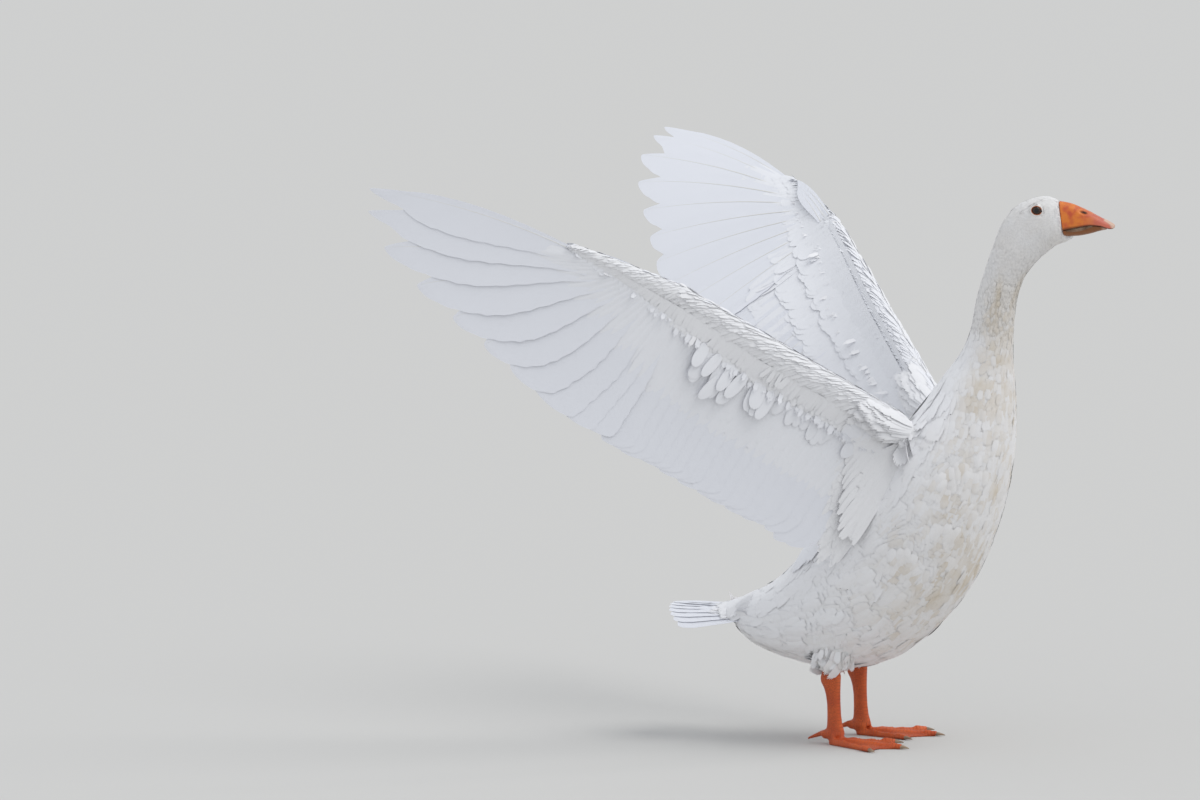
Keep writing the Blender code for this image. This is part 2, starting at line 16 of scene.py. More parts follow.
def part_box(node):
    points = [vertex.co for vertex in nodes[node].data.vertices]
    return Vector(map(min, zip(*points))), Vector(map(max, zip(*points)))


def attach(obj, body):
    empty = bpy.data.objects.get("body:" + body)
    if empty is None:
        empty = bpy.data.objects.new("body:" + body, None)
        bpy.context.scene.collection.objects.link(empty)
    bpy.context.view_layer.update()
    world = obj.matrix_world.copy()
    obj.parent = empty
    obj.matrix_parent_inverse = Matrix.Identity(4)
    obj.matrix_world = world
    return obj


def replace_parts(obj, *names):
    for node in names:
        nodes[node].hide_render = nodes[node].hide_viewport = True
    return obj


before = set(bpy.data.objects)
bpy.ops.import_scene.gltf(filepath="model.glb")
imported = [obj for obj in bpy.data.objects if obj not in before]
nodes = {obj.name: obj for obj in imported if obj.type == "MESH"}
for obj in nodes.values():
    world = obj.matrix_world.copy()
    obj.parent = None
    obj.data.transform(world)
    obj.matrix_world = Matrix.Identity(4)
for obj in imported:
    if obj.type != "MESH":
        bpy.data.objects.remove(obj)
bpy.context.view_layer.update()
MM = 0.001
WELD = 1e-5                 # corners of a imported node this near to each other, in m, are one
BAKE_PATCH = 0.003          # size of each feather's place on the bake map
ROOT_REACH = 300.0          # mm along the arm for each unit of place short of the shoulder
CHANCE = random.Random(11)

# ---------------------------------------------------------------- shape of the bird, as built

# back point (x, z), underside point (x, z), half width, squareness, fuller above (+) or below (-)
BODY = (
    (-190, 162, -184, 136, 20, 2.0, 0.00),
    (-164, 178, -168, 114, 44, 2.1, 0.00),
    (-130, 198, -136, 97, 66, 2.1, 0.00),
    (-97, 231, -90, 85, 84, 2.1, 0.02),
    (-61, 280, -34, 80, 98, 2.1, 0.04),
    (-26, 325, 27, 97, 105, 2.2, 0.06),
    (4, 360, 84, 143, 106, 2.2, 0.06),
    (30, 391, 124, 198, 102, 2.2, 0.06),
    (51, 415, 150, 258, 92, 2.2, 0.04),
    (64, 432, 167, 322, 77, 2.2, 0.02),
    (74, 444, 174, 380, 62, 2.1, 0.00),
    (82, 455, 174, 424, 50, 2.0, 0.00),
    (92, 466, 172, 449, 40, 2.0, 0.00),
    (105, 485, 170, 473, 32.5, 2.0, 0.00),
    (113, 507, 170, 499, 28.5, 2.0, 0.00),
    (120, 541, 173, 535, 26.5, 2.0, 0.00),
    (128, 567, 180, 559, 26.5, 2.0, 0.00),
    (135, 588, 188, 573, 27, 2.0, 0.00),
    (143, 611, 197, 584, 27.5, 2.0, -0.03),
    (150, 628, 208, 594, 27, 2.1, -0.05),
    (162, 646, 216, 601, 26, 2.1, -0.08),
    (179, 658, 222, 606.5, 25, 2.2, -0.10),
    (195, 663.5, 226, 610.5, 23.5, 2.2, -0.10),
    (209, 664.5, 228, 613.5, 20.5, 2.2, -0.06),
    (222, 658.5, 229.2, 615.4, 16.5, 2.2, 0.00),
)
LAST = len(BODY) - 1
HEAD_YAW, YAW_START, YAW_END, YAW_PIVOT_X = 12.0, 14.0, 19.0, 150.0
EYE, EYE_RADIUS = (196.0, 15.0, 647.6), 8.2

BILL_UPPER = (
    (222.3, 658.0, 227.8, 624.2, 15.2),
    (238, 654.8, 244, 627.4, 14.2),
    (255, 647.4, 260, 630.1, 12.6),
    (272, 638.9, 272.8, 629.2, 11.2),
    (281.5, 634.2, 281, 626.2, 8.8),
    (287, 630.9, 286, 625.6, 5.0),
)
BILL_LOWER = (
    (227.9, 623.4, 229.3, 615.9, 13.2),
    (244, 626.8, 246, 616.8, 12.4),
    (260, 629.5, 259.8, 619.6, 10.8),
    (272.4, 628.6, 270.2, 622.7, 8.8),
    (278.2, 626.3, 277.4, 624.2, 5.0),
)

THIGH = ((-30, 175, 44, 36), (-38, 138, 38, 31), (-43, 108, 27, 22), (-45, 84.4, 14.5, 13.5))
LEG_OUT, THIGH_LEAN = 48.0, 6.0
FOOT_HEEL_X, FOOT_TURN = -54.0, 9.0
TOES = ((-29.0, 84.0), (0.0, 104.0), (27.0, 94.0))     # angle, length

TAIL_FEATHERS, TAIL_ROOT, TAIL_ROOT_HALF, TAIL_LENGTH = 13, (-140.0, 153.0), 15.0, 124.0
TAIL_SPREAD, TAIL_ROOF, TAIL_RISE, TAIL_ROUND = 29.0, 9.0, 3.0, 0.16

FLESH_DEPTH = (54.0, 57.0, 46.0, 13.0)      # wing flesh at shoulder, elbow, wrist, knuckle
FLESH_THICK = (44.0, 33.0, 23.0, 8.0)
ELBOW_BULGE, KNUCKLE, REAR_GAP = 0.55, 0.37, 1.5
PRIMARIES, SECONDARIES, TERTIALS = 10, 15, 4
HAND_CORNER, FAN_FALL, OUTER_VANE = PRIMARIES - 2 / 3, 22.0, 9.0
INNER_START, TERTIAL_END = 0.10, 0.34
ALULA_FEATHERS, ALULA_LENGTH, ALULA_WIDTH, ALULA_STATION = 3, 112.0, 26.0, 1.05
WINGS = {
    "right": dict(
        sign=-1, shoulder=(59, -73, 407), wrist=(-143, -278, 573),
        tip=(-457, -520, 701), chords=((-0.47, -0.29, -0.83), (-0.44, -0.29, -0.85), (-0.44, -0.29, -0.85)),
        chord_length=214.0, inner_primary=188.0, fan_ease=1.35, bow=10.0),
    "left": dict(
        sign=1, shoulder=(59, 73, 407), wrist=(-144, 278, 595),
        tip=(-468, 537, 674), chords=((-0.70, 0.02, -0.71), (-0.66, -0.45, -0.60), (-0.62, -0.63, -0.47)),
        chord_length=224.0, inner_primary=212.0, fan_ease=1.55, bow=26.0),
}


def mix(a, b, f):
    return a + (b - a) * f


def smoothstep(f):
    f = min(max(f, 0.0), 1.0)
    return f * f * (3 - 2 * f)


def steps(start, end, count):
    return [mix(start, end, k / count) for k in range(count + 1)]


def spline(rows, t):
    """Smooth value between rows; whole numbers of t are the rows themselves."""
    last = len(rows) - 1
    i = min(max(int(t), 0), last - 1)
    f = t - i
    before, start, end, after = (rows[min(max(i + k, 0), last)] for k in (-1, 0, 1, 2))
    return [0.5 * (2 * q + (r - p) * f + (2 * p - 5 * q + 4 * r - s) * f ** 2
                   + (3 * q - p - 3 * r + s) * f ** 3)
            for p, q, r, s in zip(before, start, end, after)]


def power_circle(angle, squareness):
    c, s = math.cos(angle), math.sin(angle)
    e = 2.0 / squareness
    return math.copysign(abs(c) ** e, c), math.copysign(abs(s) ** e, s)


def turn_head(point, t):
    yaw = math.radians(HEAD_YAW) * smoothstep((t - YAW_START) / (YAW_END - YAW_START))
    pivot = Vector((YAW_PIVOT_X, 0, 0))
    return Matrix.Rotation(yaw, 3, "Z") @ (Vector(point) - pivot) + pivot


def body_point(t, angle):
    """Point on the body's outer surface: angle 0 is the back, pi the underside, pi/2 the left."""
    bx, bz, ux, uz, half, square, bias = spline(BODY, t)
    back, under = Vector((bx, 0, bz)), Vector((ux, 0, uz))
    c, s = power_circle(angle, square)
    side = Vector((0, half * s * (1 + bias * c), 0))
    return turn_head((back + under) / 2 + (back - under) / 2 * c + side, t)


SIGN = {"left": 1, "right": -1}
EYES = {side: turn_head((EYE[0], sign * EYE[1], EYE[2]), LAST) for side, sign in SIGN.items()}
_low, _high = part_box("eye_left")
SHIFT = (_low + _high) / 2 - EYES["left"] * MM


def place(point):
    """From the bird's own frame in millimetres to the shared frame in metres."""
    return Vector(point) * MM + SHIFT


def in_bird(co):
    """From the shared frame in metres to the bird's own frame in millimetres."""
    return (co - SHIFT) / MM


def mesh_from(bm, name):
    """A mesh from a bmesh, which is freed."""
    mesh = bpy.data.meshes.new(name)
    bm.to_mesh(mesh)
    bm.free()
    return mesh


def in_scene(name, data):
    """A new object in the scene."""
    made = bpy.data.objects.new(name, data)
    bpy.context.scene.collection.objects.link(made)
    return made


def finished(name, mesh, material):
    """A finished piece that stands still with the body."""
    mesh.materials.append(MATERIALS[material])
    made = in_scene(name, mesh)
    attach(made, "root")
    return made


def mark(mesh, label, values):
    """Keeps one value for each vertex, for a material to read."""
    mesh.attributes.new(label, "FLOAT", "POINT").data.foreach_set("value", values)


def body_angle(angle):
    return angle % (2 * math.pi)


def wing_uv(side, s, f, face):
    """Place on the skin's unwrap, where each face of a wing has a strip of its own."""
    first = 0.60 if side == "right" else 0.80
    return 0.56 + 0.40 * s / 1.4, first + (0.08 * f if face > 0 else 0.17 - 0.08 * f)


class Wing:
    """Places on one wing, measured along the arm (0 shoulder, 1 wrist, 2 wing tip)."""

    def __init__(self, side):
        data = WINGS[side]
        self.side, self.sign = side, data["sign"]
        self.shoulder, self.wrist, self.tip = (Vector(data[key]) for key in ("shoulder", "wrist", "tip"))
        self.chords = [Vector(c).normalized() for c in data["chords"]]
        self.chord_length, self.inner_primary = data["chord_length"], data["inner_primary"]
        self.fan_ease, self.bow = data["fan_ease"], data["bow"]
        self.span_hand = (self.tip - self.wrist).normalized()
        self.span_arm = (self.wrist - self.shoulder).normalized()
        self.hand_length = (self.tip - self.wrist).length
        self.fan = math.degrees(self.chords[1].angle(self.span_hand)) - 0.2
        self.fold = Vector((-0.62, -self.sign * 0.06, -0.62))       # runs down where inner wing meets flank

    def edge(self, s):
        if s <= 1:
            return mix(self.shoulder, self.wrist, s)
        ahead = self.bow * math.sin(math.pi * min(s - 1, 1))
        return mix(self.wrist, self.tip, s - 1) - self.chord(s) * ahead

    def square(self, f):
        across = mix(self.chords[1], self.chords[2], f)
        return (across - self.span_hand * across.dot(self.span_hand)).normalized()

    def chord(self, s):
        if s <= 1:
            return mix(self.chords[0], self.chords[1], smoothstep(s)).normalized()
        return mix(self.chords[1], self.square(1.0), smoothstep((s - 1) / KNUCKLE)).normalized()

    def span(self, s):
        return mix(self.span_arm, self.span_hand, smoothstep((s - 0.7) / 0.6)).normalized()

    def up(self, s):
        return (self.span(s).cross(self.chord(s)) * self.sign).normalized()

    def flesh(self, s):
        keys = ((0, 0), (ELBOW_BULGE, 1), (1.0, 2), (1 + KNUCKLE, 3))
        for (a, i), (b, j) in zip(keys, keys[1:]):
            if s <= b:
                f = smoothstep((s - a) / (b - a)) if j < 3 else (s - a) / (b - a)
                return mix(FLESH_DEPTH[i], FLESH_DEPTH[j], f), mix(FLESH_THICK[i], FLESH_THICK[j], f)
        return FLESH_DEPTH[3], FLESH_THICK[3]

    def rear(self, s):
        return self.edge(s) + self.chord(s) * (self.flesh(s)[0] + REAR_GAP)

    def surface(self, s, f, face):
        """On the flesh: f runs from the leading edge (0) to the rear (1), face is 1 above, -1 below."""
        depth, thick = self.flesh(s)
        rise = math.sqrt(min(f / 0.32, 1.0)) if f < 0.32 else 1 - smoothstep((f - 0.32) / 0.68)
        half = max(thick / 2 * rise, 2.5 * min(f / 0.06, 1))
        return self.edge(s) + self.chord(s) * depth * f + self.up(s) * face * half

    def surface_past(self, s, f, face):
        """On the flesh, or on its line carried on into the body where s is short of the shoulder."""
        return self.surface(max(s, 0.0), f, face) + self.span_arm * min(s, 0) * ROOT_REACH

    def primary_angle(self, number):
        return self.fan * max(1 - number / (PRIMARIES - 0.5), 0.0) ** self.fan_ease

    def primary_tip(self, number):
        angle = self.primary_angle(number)
        reach = self.inner_primary + (self.hand_length - self.inner_primary) / (1 + (angle / FAN_FALL) ** 2)
        a = math.radians(angle)
        across = self.square(smoothstep(number / PRIMARIES))
        past = max(number - (PRIMARIES - 0.5), 0.0)
        tip = self.wrist + (self.span_hand * math.cos(a) + across * math.sin(a)) * reach
        return tip - across * past * OUTER_VANE

    def hand_station(self, number):
        return mix(1.006, 1 + KNUCKLE, min(number / HAND_CORNER, 1.0))

    def primary_root(self, number):
        if number < HAND_CORNER:
            return self.rear(self.hand_station(number))
        end = 1 + KNUCKLE
        front = self.edge(end) + self.chord(end) * REAR_GAP
        round_end = (number - HAND_CORNER) / (PRIMARIES - HAND_CORNER)
        return mix(self.rear(end), front, round_end)

    def sheet(self, s, behind):
        """On the sheet of the large feathers, so many mm behind the leading edge."""
        if s <= 1:
            return self.edge(s) + self.chord(s) * behind
        number = min((s - 1) / KNUCKLE, 1) * HAND_CORNER
        root = self.primary_root(number)
        return root + (self.primary_tip(number) - root).normalized() * (behind - self.flesh(s)[0])

    def inward(self, s, behind):
        """Along the wing's sheet towards the body, at so many mm behind the leading edge."""
        return (self.sheet(s - 0.02, behind) - self.sheet(s + 0.02, behind)).normalized()

    def sheet_up(self, s, behind):
        """Upward normal of the sheet, which twists where the chords fan out."""
        outward = self.sheet(s, behind + 5) - self.sheet(s, behind)
        return (outward.cross(self.inward(s, behind)) * self.sign).normalized()

    def trailing(self, s):
        return self.edge(s) + self.chord(s) * self.chord_length * (1 - 0.03 * math.sin(math.pi * s))

    def lie(self, s):
        """Way the small feathers point: along the chord on the arm, fanning out on the hand."""
        if s < 0.94:
            return (self.chord(s) + self.span(s) * 0.12).normalized()
        number = min(max((s - 1.0) / KNUCKLE, 0), 1) * HAND_CORNER
        fan = (self.primary_tip(number) - self.primary_root(number)).normalized()
        return mix(self.chord(0.94), fan, smoothstep((s - 0.94) / 0.12)).normalized()


WING = {side: Wing(side) for side in WINGS}


# ---------------------------------------------------------------- materials

def new_group(name, inputs, outputs):
    group = bpy.data.node_groups.new(name, "ShaderNodeTree")
    for label, kind, value in inputs:
        socket = group.interface.new_socket(label, in_out="INPUT", socket_type=kind)
        if value is not None:
            socket.default_value = value
    for label, kind in outputs:
        group.interface.new_socket(label, in_out="OUTPUT", socket_type=kind)
    return group, group.nodes.new("NodeGroupInput"), group.nodes.new("NodeGroupOutput")


def node(tree, kind, **values):
    """A node with settings by attribute name, or by input number or name given as a dict 'inputs'."""
    made = tree.nodes.new(kind)
    inputs = values.pop("inputs", {})
    for key, value in values.items():
        setattr(made, key, value)
    for key, value in inputs.items():
        made.inputs[key].default_value = value
    return made


def plumage_group():
    """White feather colour with a beige mix of soil and painted shade worked in by each feather's value, and a
    faint cloudiness.
    """
    group, given, out = new_group(
        "plumage_tone",
        (("Coat", "NodeSocketColor", (0.8, 0.8, 0.8, 1)),
         ("Soil And Shade Colour", "NodeSocketColor", (0.6, 0.5, 0.4, 1)),
         ("Cloud Scale", "NodeSocketFloat", 30.0)),
        (("Color", "NodeSocketColor"), ("Height", "NodeSocketFloat")))
    link = group.links.new
    where = node(group, "ShaderNodeTexCoord")
    soil_and_shade = node(group, "ShaderNodeAttribute", attribute_name="soil_and_shade")
    cloud = node(group, "ShaderNodeTexNoise", inputs={"Detail": 4.0, "Roughness": 0.6})
    fine = node(group, "ShaderNodeTexNoise", inputs={"Scale": 900.0, "Detail": 2.0})
    link(where.outputs["Object"], cloud.inputs["Vector"])
    link(where.outputs["Object"], fine.inputs["Vector"])
    link(given.outputs["Cloud Scale"], cloud.inputs["Scale"])
    patchy = node(group, "ShaderNodeMapRange", inputs={1: 0.35, 2: 0.7, 3: 0.35, 4: 1.0})
    amount = node(group, "ShaderNodeMath", operation="MULTIPLY", use_clamp=True)
    link(cloud.outputs["Fac"], patchy.inputs["Value"])
    link(patchy.outputs["Result"], amount.inputs[0])
    link(soil_and_shade.outputs["Fac"], amount.inputs[1])
    tone = node(group, "ShaderNodeMix", data_type="RGBA")
    link(amount.outputs["Value"], tone.inputs["Factor"])
    link(given.outputs["Coat"], tone.inputs["A"])
    link(given.outputs["Soil And Shade Colour"], tone.inputs["B"])
    link(tone.outputs["Result"], out.inputs["Color"])
    link(fine.outputs["Fac"], out.inputs["Height"])
    return group


def barb_group():
    """Fine barbs that leave the feather's shaft at a slant, from the vane's own map."""
    group, given, out = new_group(
        "barb_lines",
        (("Barbs", "NodeSocketFloat", 60.0), ("Slant", "NodeSocketFloat", 0.8)),
        (("Height", "NodeSocketFloat"),))
    link = group.links.new
    vane = node(group, "ShaderNodeUVMap", uv_map="vane")
    parts = node(group, "ShaderNodeSeparateXYZ")
    link(vane.outputs["UV"], parts.inputs["Vector"])
    across = node(group, "ShaderNodeMath", operation="SUBTRACT", inputs={1: 0.5})
    away = node(group, "ShaderNodeMath", operation="ABSOLUTE")
    link(parts.outputs["X"], across.inputs[0])
    link(across.outputs["Value"], away.inputs[0])
    slanted = node(group, "ShaderNodeMath", operation="MULTIPLY")
    link(away.outputs["Value"], slanted.inputs[0])
    link(given.outputs["Slant"], slanted.inputs[1])
    along = node(group, "ShaderNodeMath", operation="SUBTRACT")
    link(parts.outputs["Y"], along.inputs[0])
    link(slanted.outputs["Value"], along.inputs[1])
    turns = node(group, "ShaderNodeMath", operation="MULTIPLY")
    link(along.outputs["Value"], turns.inputs[0])
    link(given.outputs["Barbs"], turns.inputs[1])
    spot = node(group, "ShaderNodeCombineXYZ")
    link(turns.outputs["Value"], spot.inputs["X"])
    uneven = node(group, "ShaderNodeTexNoise", noise_dimensions="2D",
                  inputs={"Scale": 1.0, "Detail": 3.0, "Roughness": 0.7})
    link(spot.outputs["Vector"], uneven.inputs["Vector"])
    link(uneven.outputs["Fac"], out.inputs["Height"])
    return group


PLUMAGE = plumage_group()
BARBS = barb_group()


def finish(name, colour, rough, **constants):
    """A material with its shader's plain values set on the shader's own sockets."""
    made = bpy.data.materials.new(name)
    made.use_nodes = True
    shader = made.node_tree.nodes["Principled BSDF"]
    shader.inputs["Base Color"].default_value = (*colour, 1)
    shader.inputs["Roughness"].default_value = rough
    for label, value in constants.items():
        shader.inputs[label.replace("_", " ")].default_value = value
    return made, made.node_tree, shader


def bump(tree, shader, height, strength, distance):
    """Fine relief; the distance is in metres."""
    made = node(tree, "ShaderNodeBump", inputs={"Strength": strength, "Distance": distance})
    tree.links.new(height, made.inputs["Height"])
    tree.links.new(made.outputs["Normal"], shader.inputs["Normal"])


# Beige mixed into the whites: painted shade in the grooves between clumps, on the throat and on the thigh
# cuffs, and soil with painted shade over the breast and belly.
SOIL_AND_SHADE = (0.66, 0.58, 0.47)


def feather_material(name, colour, barbs, slant, strength, rough, sheen):
    """White feathers; barbs is how many lines cross a vane from root to tip, or 0 for plain down."""
    made, tree, shader = finish(name, colour, rough, Sheen_Weight=sheen, Sheen_Roughness=0.5,
                                Specular_IOR_Level=0.25)
    tone = node(tree, "ShaderNodeGroup", node_tree=PLUMAGE,
                inputs={"Coat": (*colour, 1), "Soil And Shade Colour": (*SOIL_AND_SHADE, 1), "Cloud Scale": 26.0})
    tree.links.new(tone.outputs["Color"], shader.inputs["Base Color"])
    relief = tone
    if barbs:
        relief = node(tree, "ShaderNodeGroup", node_tree=BARBS, inputs={"Barbs": barbs, "Slant": slant})
    bump(tree, shader, relief.outputs["Height"], strength, 0.0006)
    return made


def relief_group():
    """Small rounded plates with sunken lines between them, for scaly and leathery skin."""
    group, given, out = new_group("scaly_relief", (("Plates", "NodeSocketFloat", 400.0),),
                                  (("Height", "NodeSocketFloat"),))
    link = group.links.new
    where = node(group, "ShaderNodeTexCoord")
    plates = node(group, "ShaderNodeTexVoronoi", feature="DISTANCE_TO_EDGE")
    link(where.outputs["Object"], plates.inputs["Vector"])
    link(given.outputs["Plates"], plates.inputs["Scale"])
    soft = node(group, "ShaderNodeMapRange", interpolation_type="SMOOTHSTEP", inputs={1: 0.0, 2: 0.22})
    link(plates.outputs["Distance"], soft.inputs["Value"])
    link(soft.outputs["Result"], out.inputs["Height"])
    return group


RELIEF = relief_group()


def blend_by(tree, mask, under, over):
    """Colour that goes from under to over with a mask; either may be a plain colour."""
    made = node(tree, "ShaderNodeMix", data_type="RGBA")
    for key, value in (("A", under), ("B", over)):
        if isinstance(value, tuple):
            made.inputs[key].default_value = (*value, 1)
        else:
            tree.links.new(value, made.inputs[key])
    tree.links.new(mask, made.inputs["Factor"])
    return made.outputs["Result"]


def scaled(tree, value, factor):
    made = node(tree, "ShaderNodeMath", operation="MULTIPLY", inputs={1: factor})
    tree.links.new(value, made.inputs[0])
    return made.outputs["Value"]


def mottle(tree, scale, low, high):
    """Patches from 0 to 1 over the object."""
    where = node(tree, "ShaderNodeTexCoord")
    noise = node(tree, "ShaderNodeTexNoise", inputs={"Scale": scale, "Detail": 4.0})
    ramp = node(tree, "ShaderNodeMapRange", inputs={1: low, 2: high})
    tree.links.new(where.outputs["Object"], noise.inputs["Vector"])
    tree.links.new(noise.outputs["Fac"], ramp.inputs["Value"])
    return ramp.outputs["Result"]


def attribute(tree, name):
    return node(tree, "ShaderNodeAttribute", attribute_name=name).outputs["Fac"]


def make_bill_material():
    """Orange horn that pales to pink, with a pale nail, and painted shade in the nostrils and along the cutting
    edge where the bill's halves meet.
    """
    made, tree, shader = finish("goose_bill_horn", (0.75, 0.17, 0.03), 0.42, Specular_IOR_Level=0.45,
                                Coat_Weight=0.08, Coat_Roughness=0.3)
    tone = blend_by(tree, mottle(tree, 95, 0.38, 0.62), (0.76, 0.205, 0.022), (0.56, 0.085, 0.024))
    tone = blend_by(tree, attribute(tree, "tipward"), tone, (0.56, 0.135, 0.095))
    tone = blend_by(tree, attribute(tree, "lower"), tone, (0.25, 0.085, 0.020))
    tone = blend_by(tree, attribute(tree, "nail"), tone, (0.66, 0.44, 0.34))
    # Painted shade: the nostrils, the cutting edge, and the lower bill's top under it.
    tone = blend_by(tree, attribute(tree, "painted_shade"), tone, (0.035, 0.014, 0.008))
    tree.links.new(tone, shader.inputs["Base Color"])
    relief = node(tree, "ShaderNodeGroup", node_tree=RELIEF, inputs={"Plates": 900.0})
    bump(tree, shader, relief.outputs["Height"], 0.22, 0.0003)
    return made


def make_leg_material():
    """Red-orange scaly skin: cross plates down the front, small round plates elsewhere."""
    made, tree, shader = finish("goose_leg_skin", (0.60, 0.10, 0.03), 0.52, Specular_IOR_Level=0.4)
    link = tree.links.new
    relief = node(tree, "ShaderNodeGroup", node_tree=RELIEF, inputs={"Plates": 520.0})
    spot = node(tree, "ShaderNodeCombineXYZ")
    link(attribute(tree, "along"), spot.inputs["X"])
    rings = node(tree, "ShaderNodeTexWave", bands_direction="X", wave_profile="SAW",
                 inputs={"Scale": 0.075, "Distortion": 0.4, "Detail": 1.0})
    link(spot.outputs["Vector"], rings.inputs["Vector"])
    plate = node(tree, "ShaderNodeMapRange", interpolation_type="SMOOTHSTEP", inputs={1: 0.0, 2: 0.22})
    link(rings.outputs["Fac"], plate.inputs["Value"])
    height = node(tree, "ShaderNodeMix", data_type="FLOAT")
    link(attribute(tree, "front"), height.inputs["Factor"])
    link(relief.outputs["Height"], height.inputs["A"])
    link(plate.outputs["Result"], height.inputs["B"])
    groove = node(tree, "ShaderNodeMath", operation="SUBTRACT", inputs={0: 1.0})
    link(height.outputs["Result"], groove.inputs[1])
    tone = blend_by(tree, mottle(tree, 45, 0.3, 0.75), (0.70, 0.135, 0.030), (0.52, 0.075, 0.022))
    tone = blend_by(tree, scaled(tree, groove.outputs["Value"], 0.55), tone, (0.26, 0.045, 0.016))
    link(tone, shader.inputs["Base Color"])
    bump(tree, shader, height.outputs["Result"], 0.7, 0.0005)
    return made


def make_horn_material(name, pale, deep, rough):
    made, tree, shader = finish(name, pale, rough, Specular_IOR_Level=0.5)
    tree.links.new(blend_by(tree, mottle(tree, 120, 0.3, 0.7), pale, deep), shader.inputs["Base Color"])
    return made


def make_eye_material():
    """Dark brown iris round a black pupil, under a wet cornea."""
    made, tree, shader = finish("goose_eye_wet", (0.03, 0.015, 0.01), 0.05, Specular_IOR_Level=0.3,
                                Coat_Weight=0.35, Coat_Roughness=0.02)
    link = tree.links.new
    radial = attribute(tree, "radial")
    pupil = node(tree, "ShaderNodeMapRange", interpolation_type="SMOOTHSTEP", inputs={1: 0.30, 2: 0.36})
    rim = node(tree, "ShaderNodeMapRange", interpolation_type="SMOOTHSTEP", inputs={1: 0.60, 2: 0.72})
    for ramp in (pupil, rim):
        link(radial, ramp.inputs["Value"])
    iris = blend_by(tree, mottle(tree, 900, 0.35, 0.7), (0.050, 0.020, 0.009), (0.018, 0.008, 0.005))
    tone = blend_by(tree, pupil.outputs["Result"], (0.003, 0.003, 0.004), iris)
    tone = blend_by(tree, rim.outputs["Result"], tone, (0.012, 0.008, 0.007))
    link(tone, shader.inputs["Base Color"])
    return made


def make_rim_material():
    """Thin bare skin round the eye."""
    made, tree, shader = finish("goose_eye_rim", (0.60, 0.16, 0.04), 0.45)
    tree.links.new(blend_by(tree, mottle(tree, 400, 0.3, 0.7), (0.66, 0.20, 0.045), (0.40, 0.09, 0.03)),
                   shader.inputs["Base Color"])
    return made


# The feather whites lean to blue, most in the coverts and flight feathers: painted cool shade.
MATERIALS = {
    "down": feather_material("goose_down", (0.86, 0.86, 0.88), 26.0, 0.5, 0.35, 0.85, 0.25),
    "short": feather_material("goose_short_plumage", (0.80, 0.80, 0.815), 26.0, 0.5, 0.35, 0.85, 0.25),
    "covert": feather_material("goose_covert", (0.85, 0.857, 0.892), 50.0, 0.7, 0.30, 0.75, 0.12),
    "flight": feather_material("goose_flight_feather", (0.815, 0.828, 0.88), 260.0, 0.30, 0.45, 0.62, 0.08),
    "skin": feather_material("goose_skin", (0.84, 0.84, 0.85), 0.0, 0.0, 0.3, 0.9, 0.1),
    "shaft": finish("goose_feather_shaft", (0.78, 0.77, 0.74), 0.45, Specular_IOR_Level=0.4)[0],
    "bill": make_bill_material(),
    "leg": make_leg_material(),
    "claw": make_horn_material("goose_claw_horn", (0.42, 0.30, 0.20), (0.20, 0.13, 0.09), 0.4),
    "comb": make_horn_material("goose_bill_comb", (0.50, 0.36, 0.26), (0.16, 0.09, 0.05), 0.5),
    # Near black fill for the gap between the bill's halves: painted shade.
    "mouth": make_horn_material("goose_mouth_gap_shade", (0.10, 0.03, 0.02), (0.05, 0.015, 0.01), 0.6),
    "eye": make_eye_material(),
    "rim": make_rim_material(),
}


# ---------------------------------------------------------------- feathers

def feather_template(across, along, split, taper, seed):
    """A soft feather of unit length whose far part parts into a few strands.

    Returns points (along, across, up), faces, and the vane's map of each point.
    """
    chance = random.Random(seed)
    bm = bmesh.new()
    bmesh.ops.create_grid(bm, x_segments=along, y_segments=across, size=0.5)
    bmesh.ops.translate(bm, verts=bm.verts, vec=(0.5, 0, 0))
    lengthways = [e for e in bm.edges if abs(e.verts[0].co.y - e.verts[1].co.y) < 1e-6
                  and min(v.co.x for v in e.verts) > split - 1e-6 and len(e.link_faces) == 2]
    bmesh.ops.split_edges(bm, edges=lengthways)
    ends = [1 - 0.34 * (2 * (k + 0.5) / across - 1) ** 2 + chance.uniform(-0.05, 0.0) for k in range(across)]
    reach = [(end - split) / (1 - split) for end in ends]
    lean = [chance.uniform(-0.03, 0.03) for _ in range(across)]
    points, maps = [], []
    for v in bm.verts:
        x, y = v.co.x, v.co.y
        maps.append((y + 0.5, x))
        middle = sum(f.calc_center_median().y for f in v.link_faces) / len(v.link_faces)
        k = min(max(int((middle + 0.5) * across), 0), across - 1)
        centre = (k + 0.5) / across - 0.5
        width = math.sin(math.pi * min(0.20 + 0.5 * x / max(split, 0.3), 0.5)) if x < split else 1.0
        if x > split - 1e-6:
            f = (x - split) / (1 - split)
            y = centre + (y - centre) * (1 - taper * f ** 1.5) + lean[k] * f
            x = split + (x - split) * reach[k]
        points.append((x, y * width, 0.0))
    faces = [[v.index for v in f.verts] for f in bm.faces]
    bm.free()
    return np.array(points), np.array(faces), np.array(maps)


def rounded_template(across, along, tip):
    """A whole vane with a full round end; tip is where it starts to close."""
    bm = bmesh.new()
    bmesh.ops.create_grid(bm, x_segments=along, y_segments=across, size=0.5)
    points, maps = [], []
    for v in bm.verts:
        x, y = 1 - (0.5 - v.co.x) ** 1.6, v.co.y
        maps.append((y + 0.5, x))
        end = max((x - tip) / (1.01 - tip), 0)
        width = (0.50 + 0.50 * smoothstep(x / 0.45)) * math.sqrt(max(1 - end * end, 0.0))
        points.append((x, y * width, 0.012 * math.exp(-(y / 0.08) ** 2) * (1 - x)))
    faces = [[v.index for v in f.verts] for f in bm.faces]
    bm.free()
    return np.array(points), np.array(faces), np.array(maps)


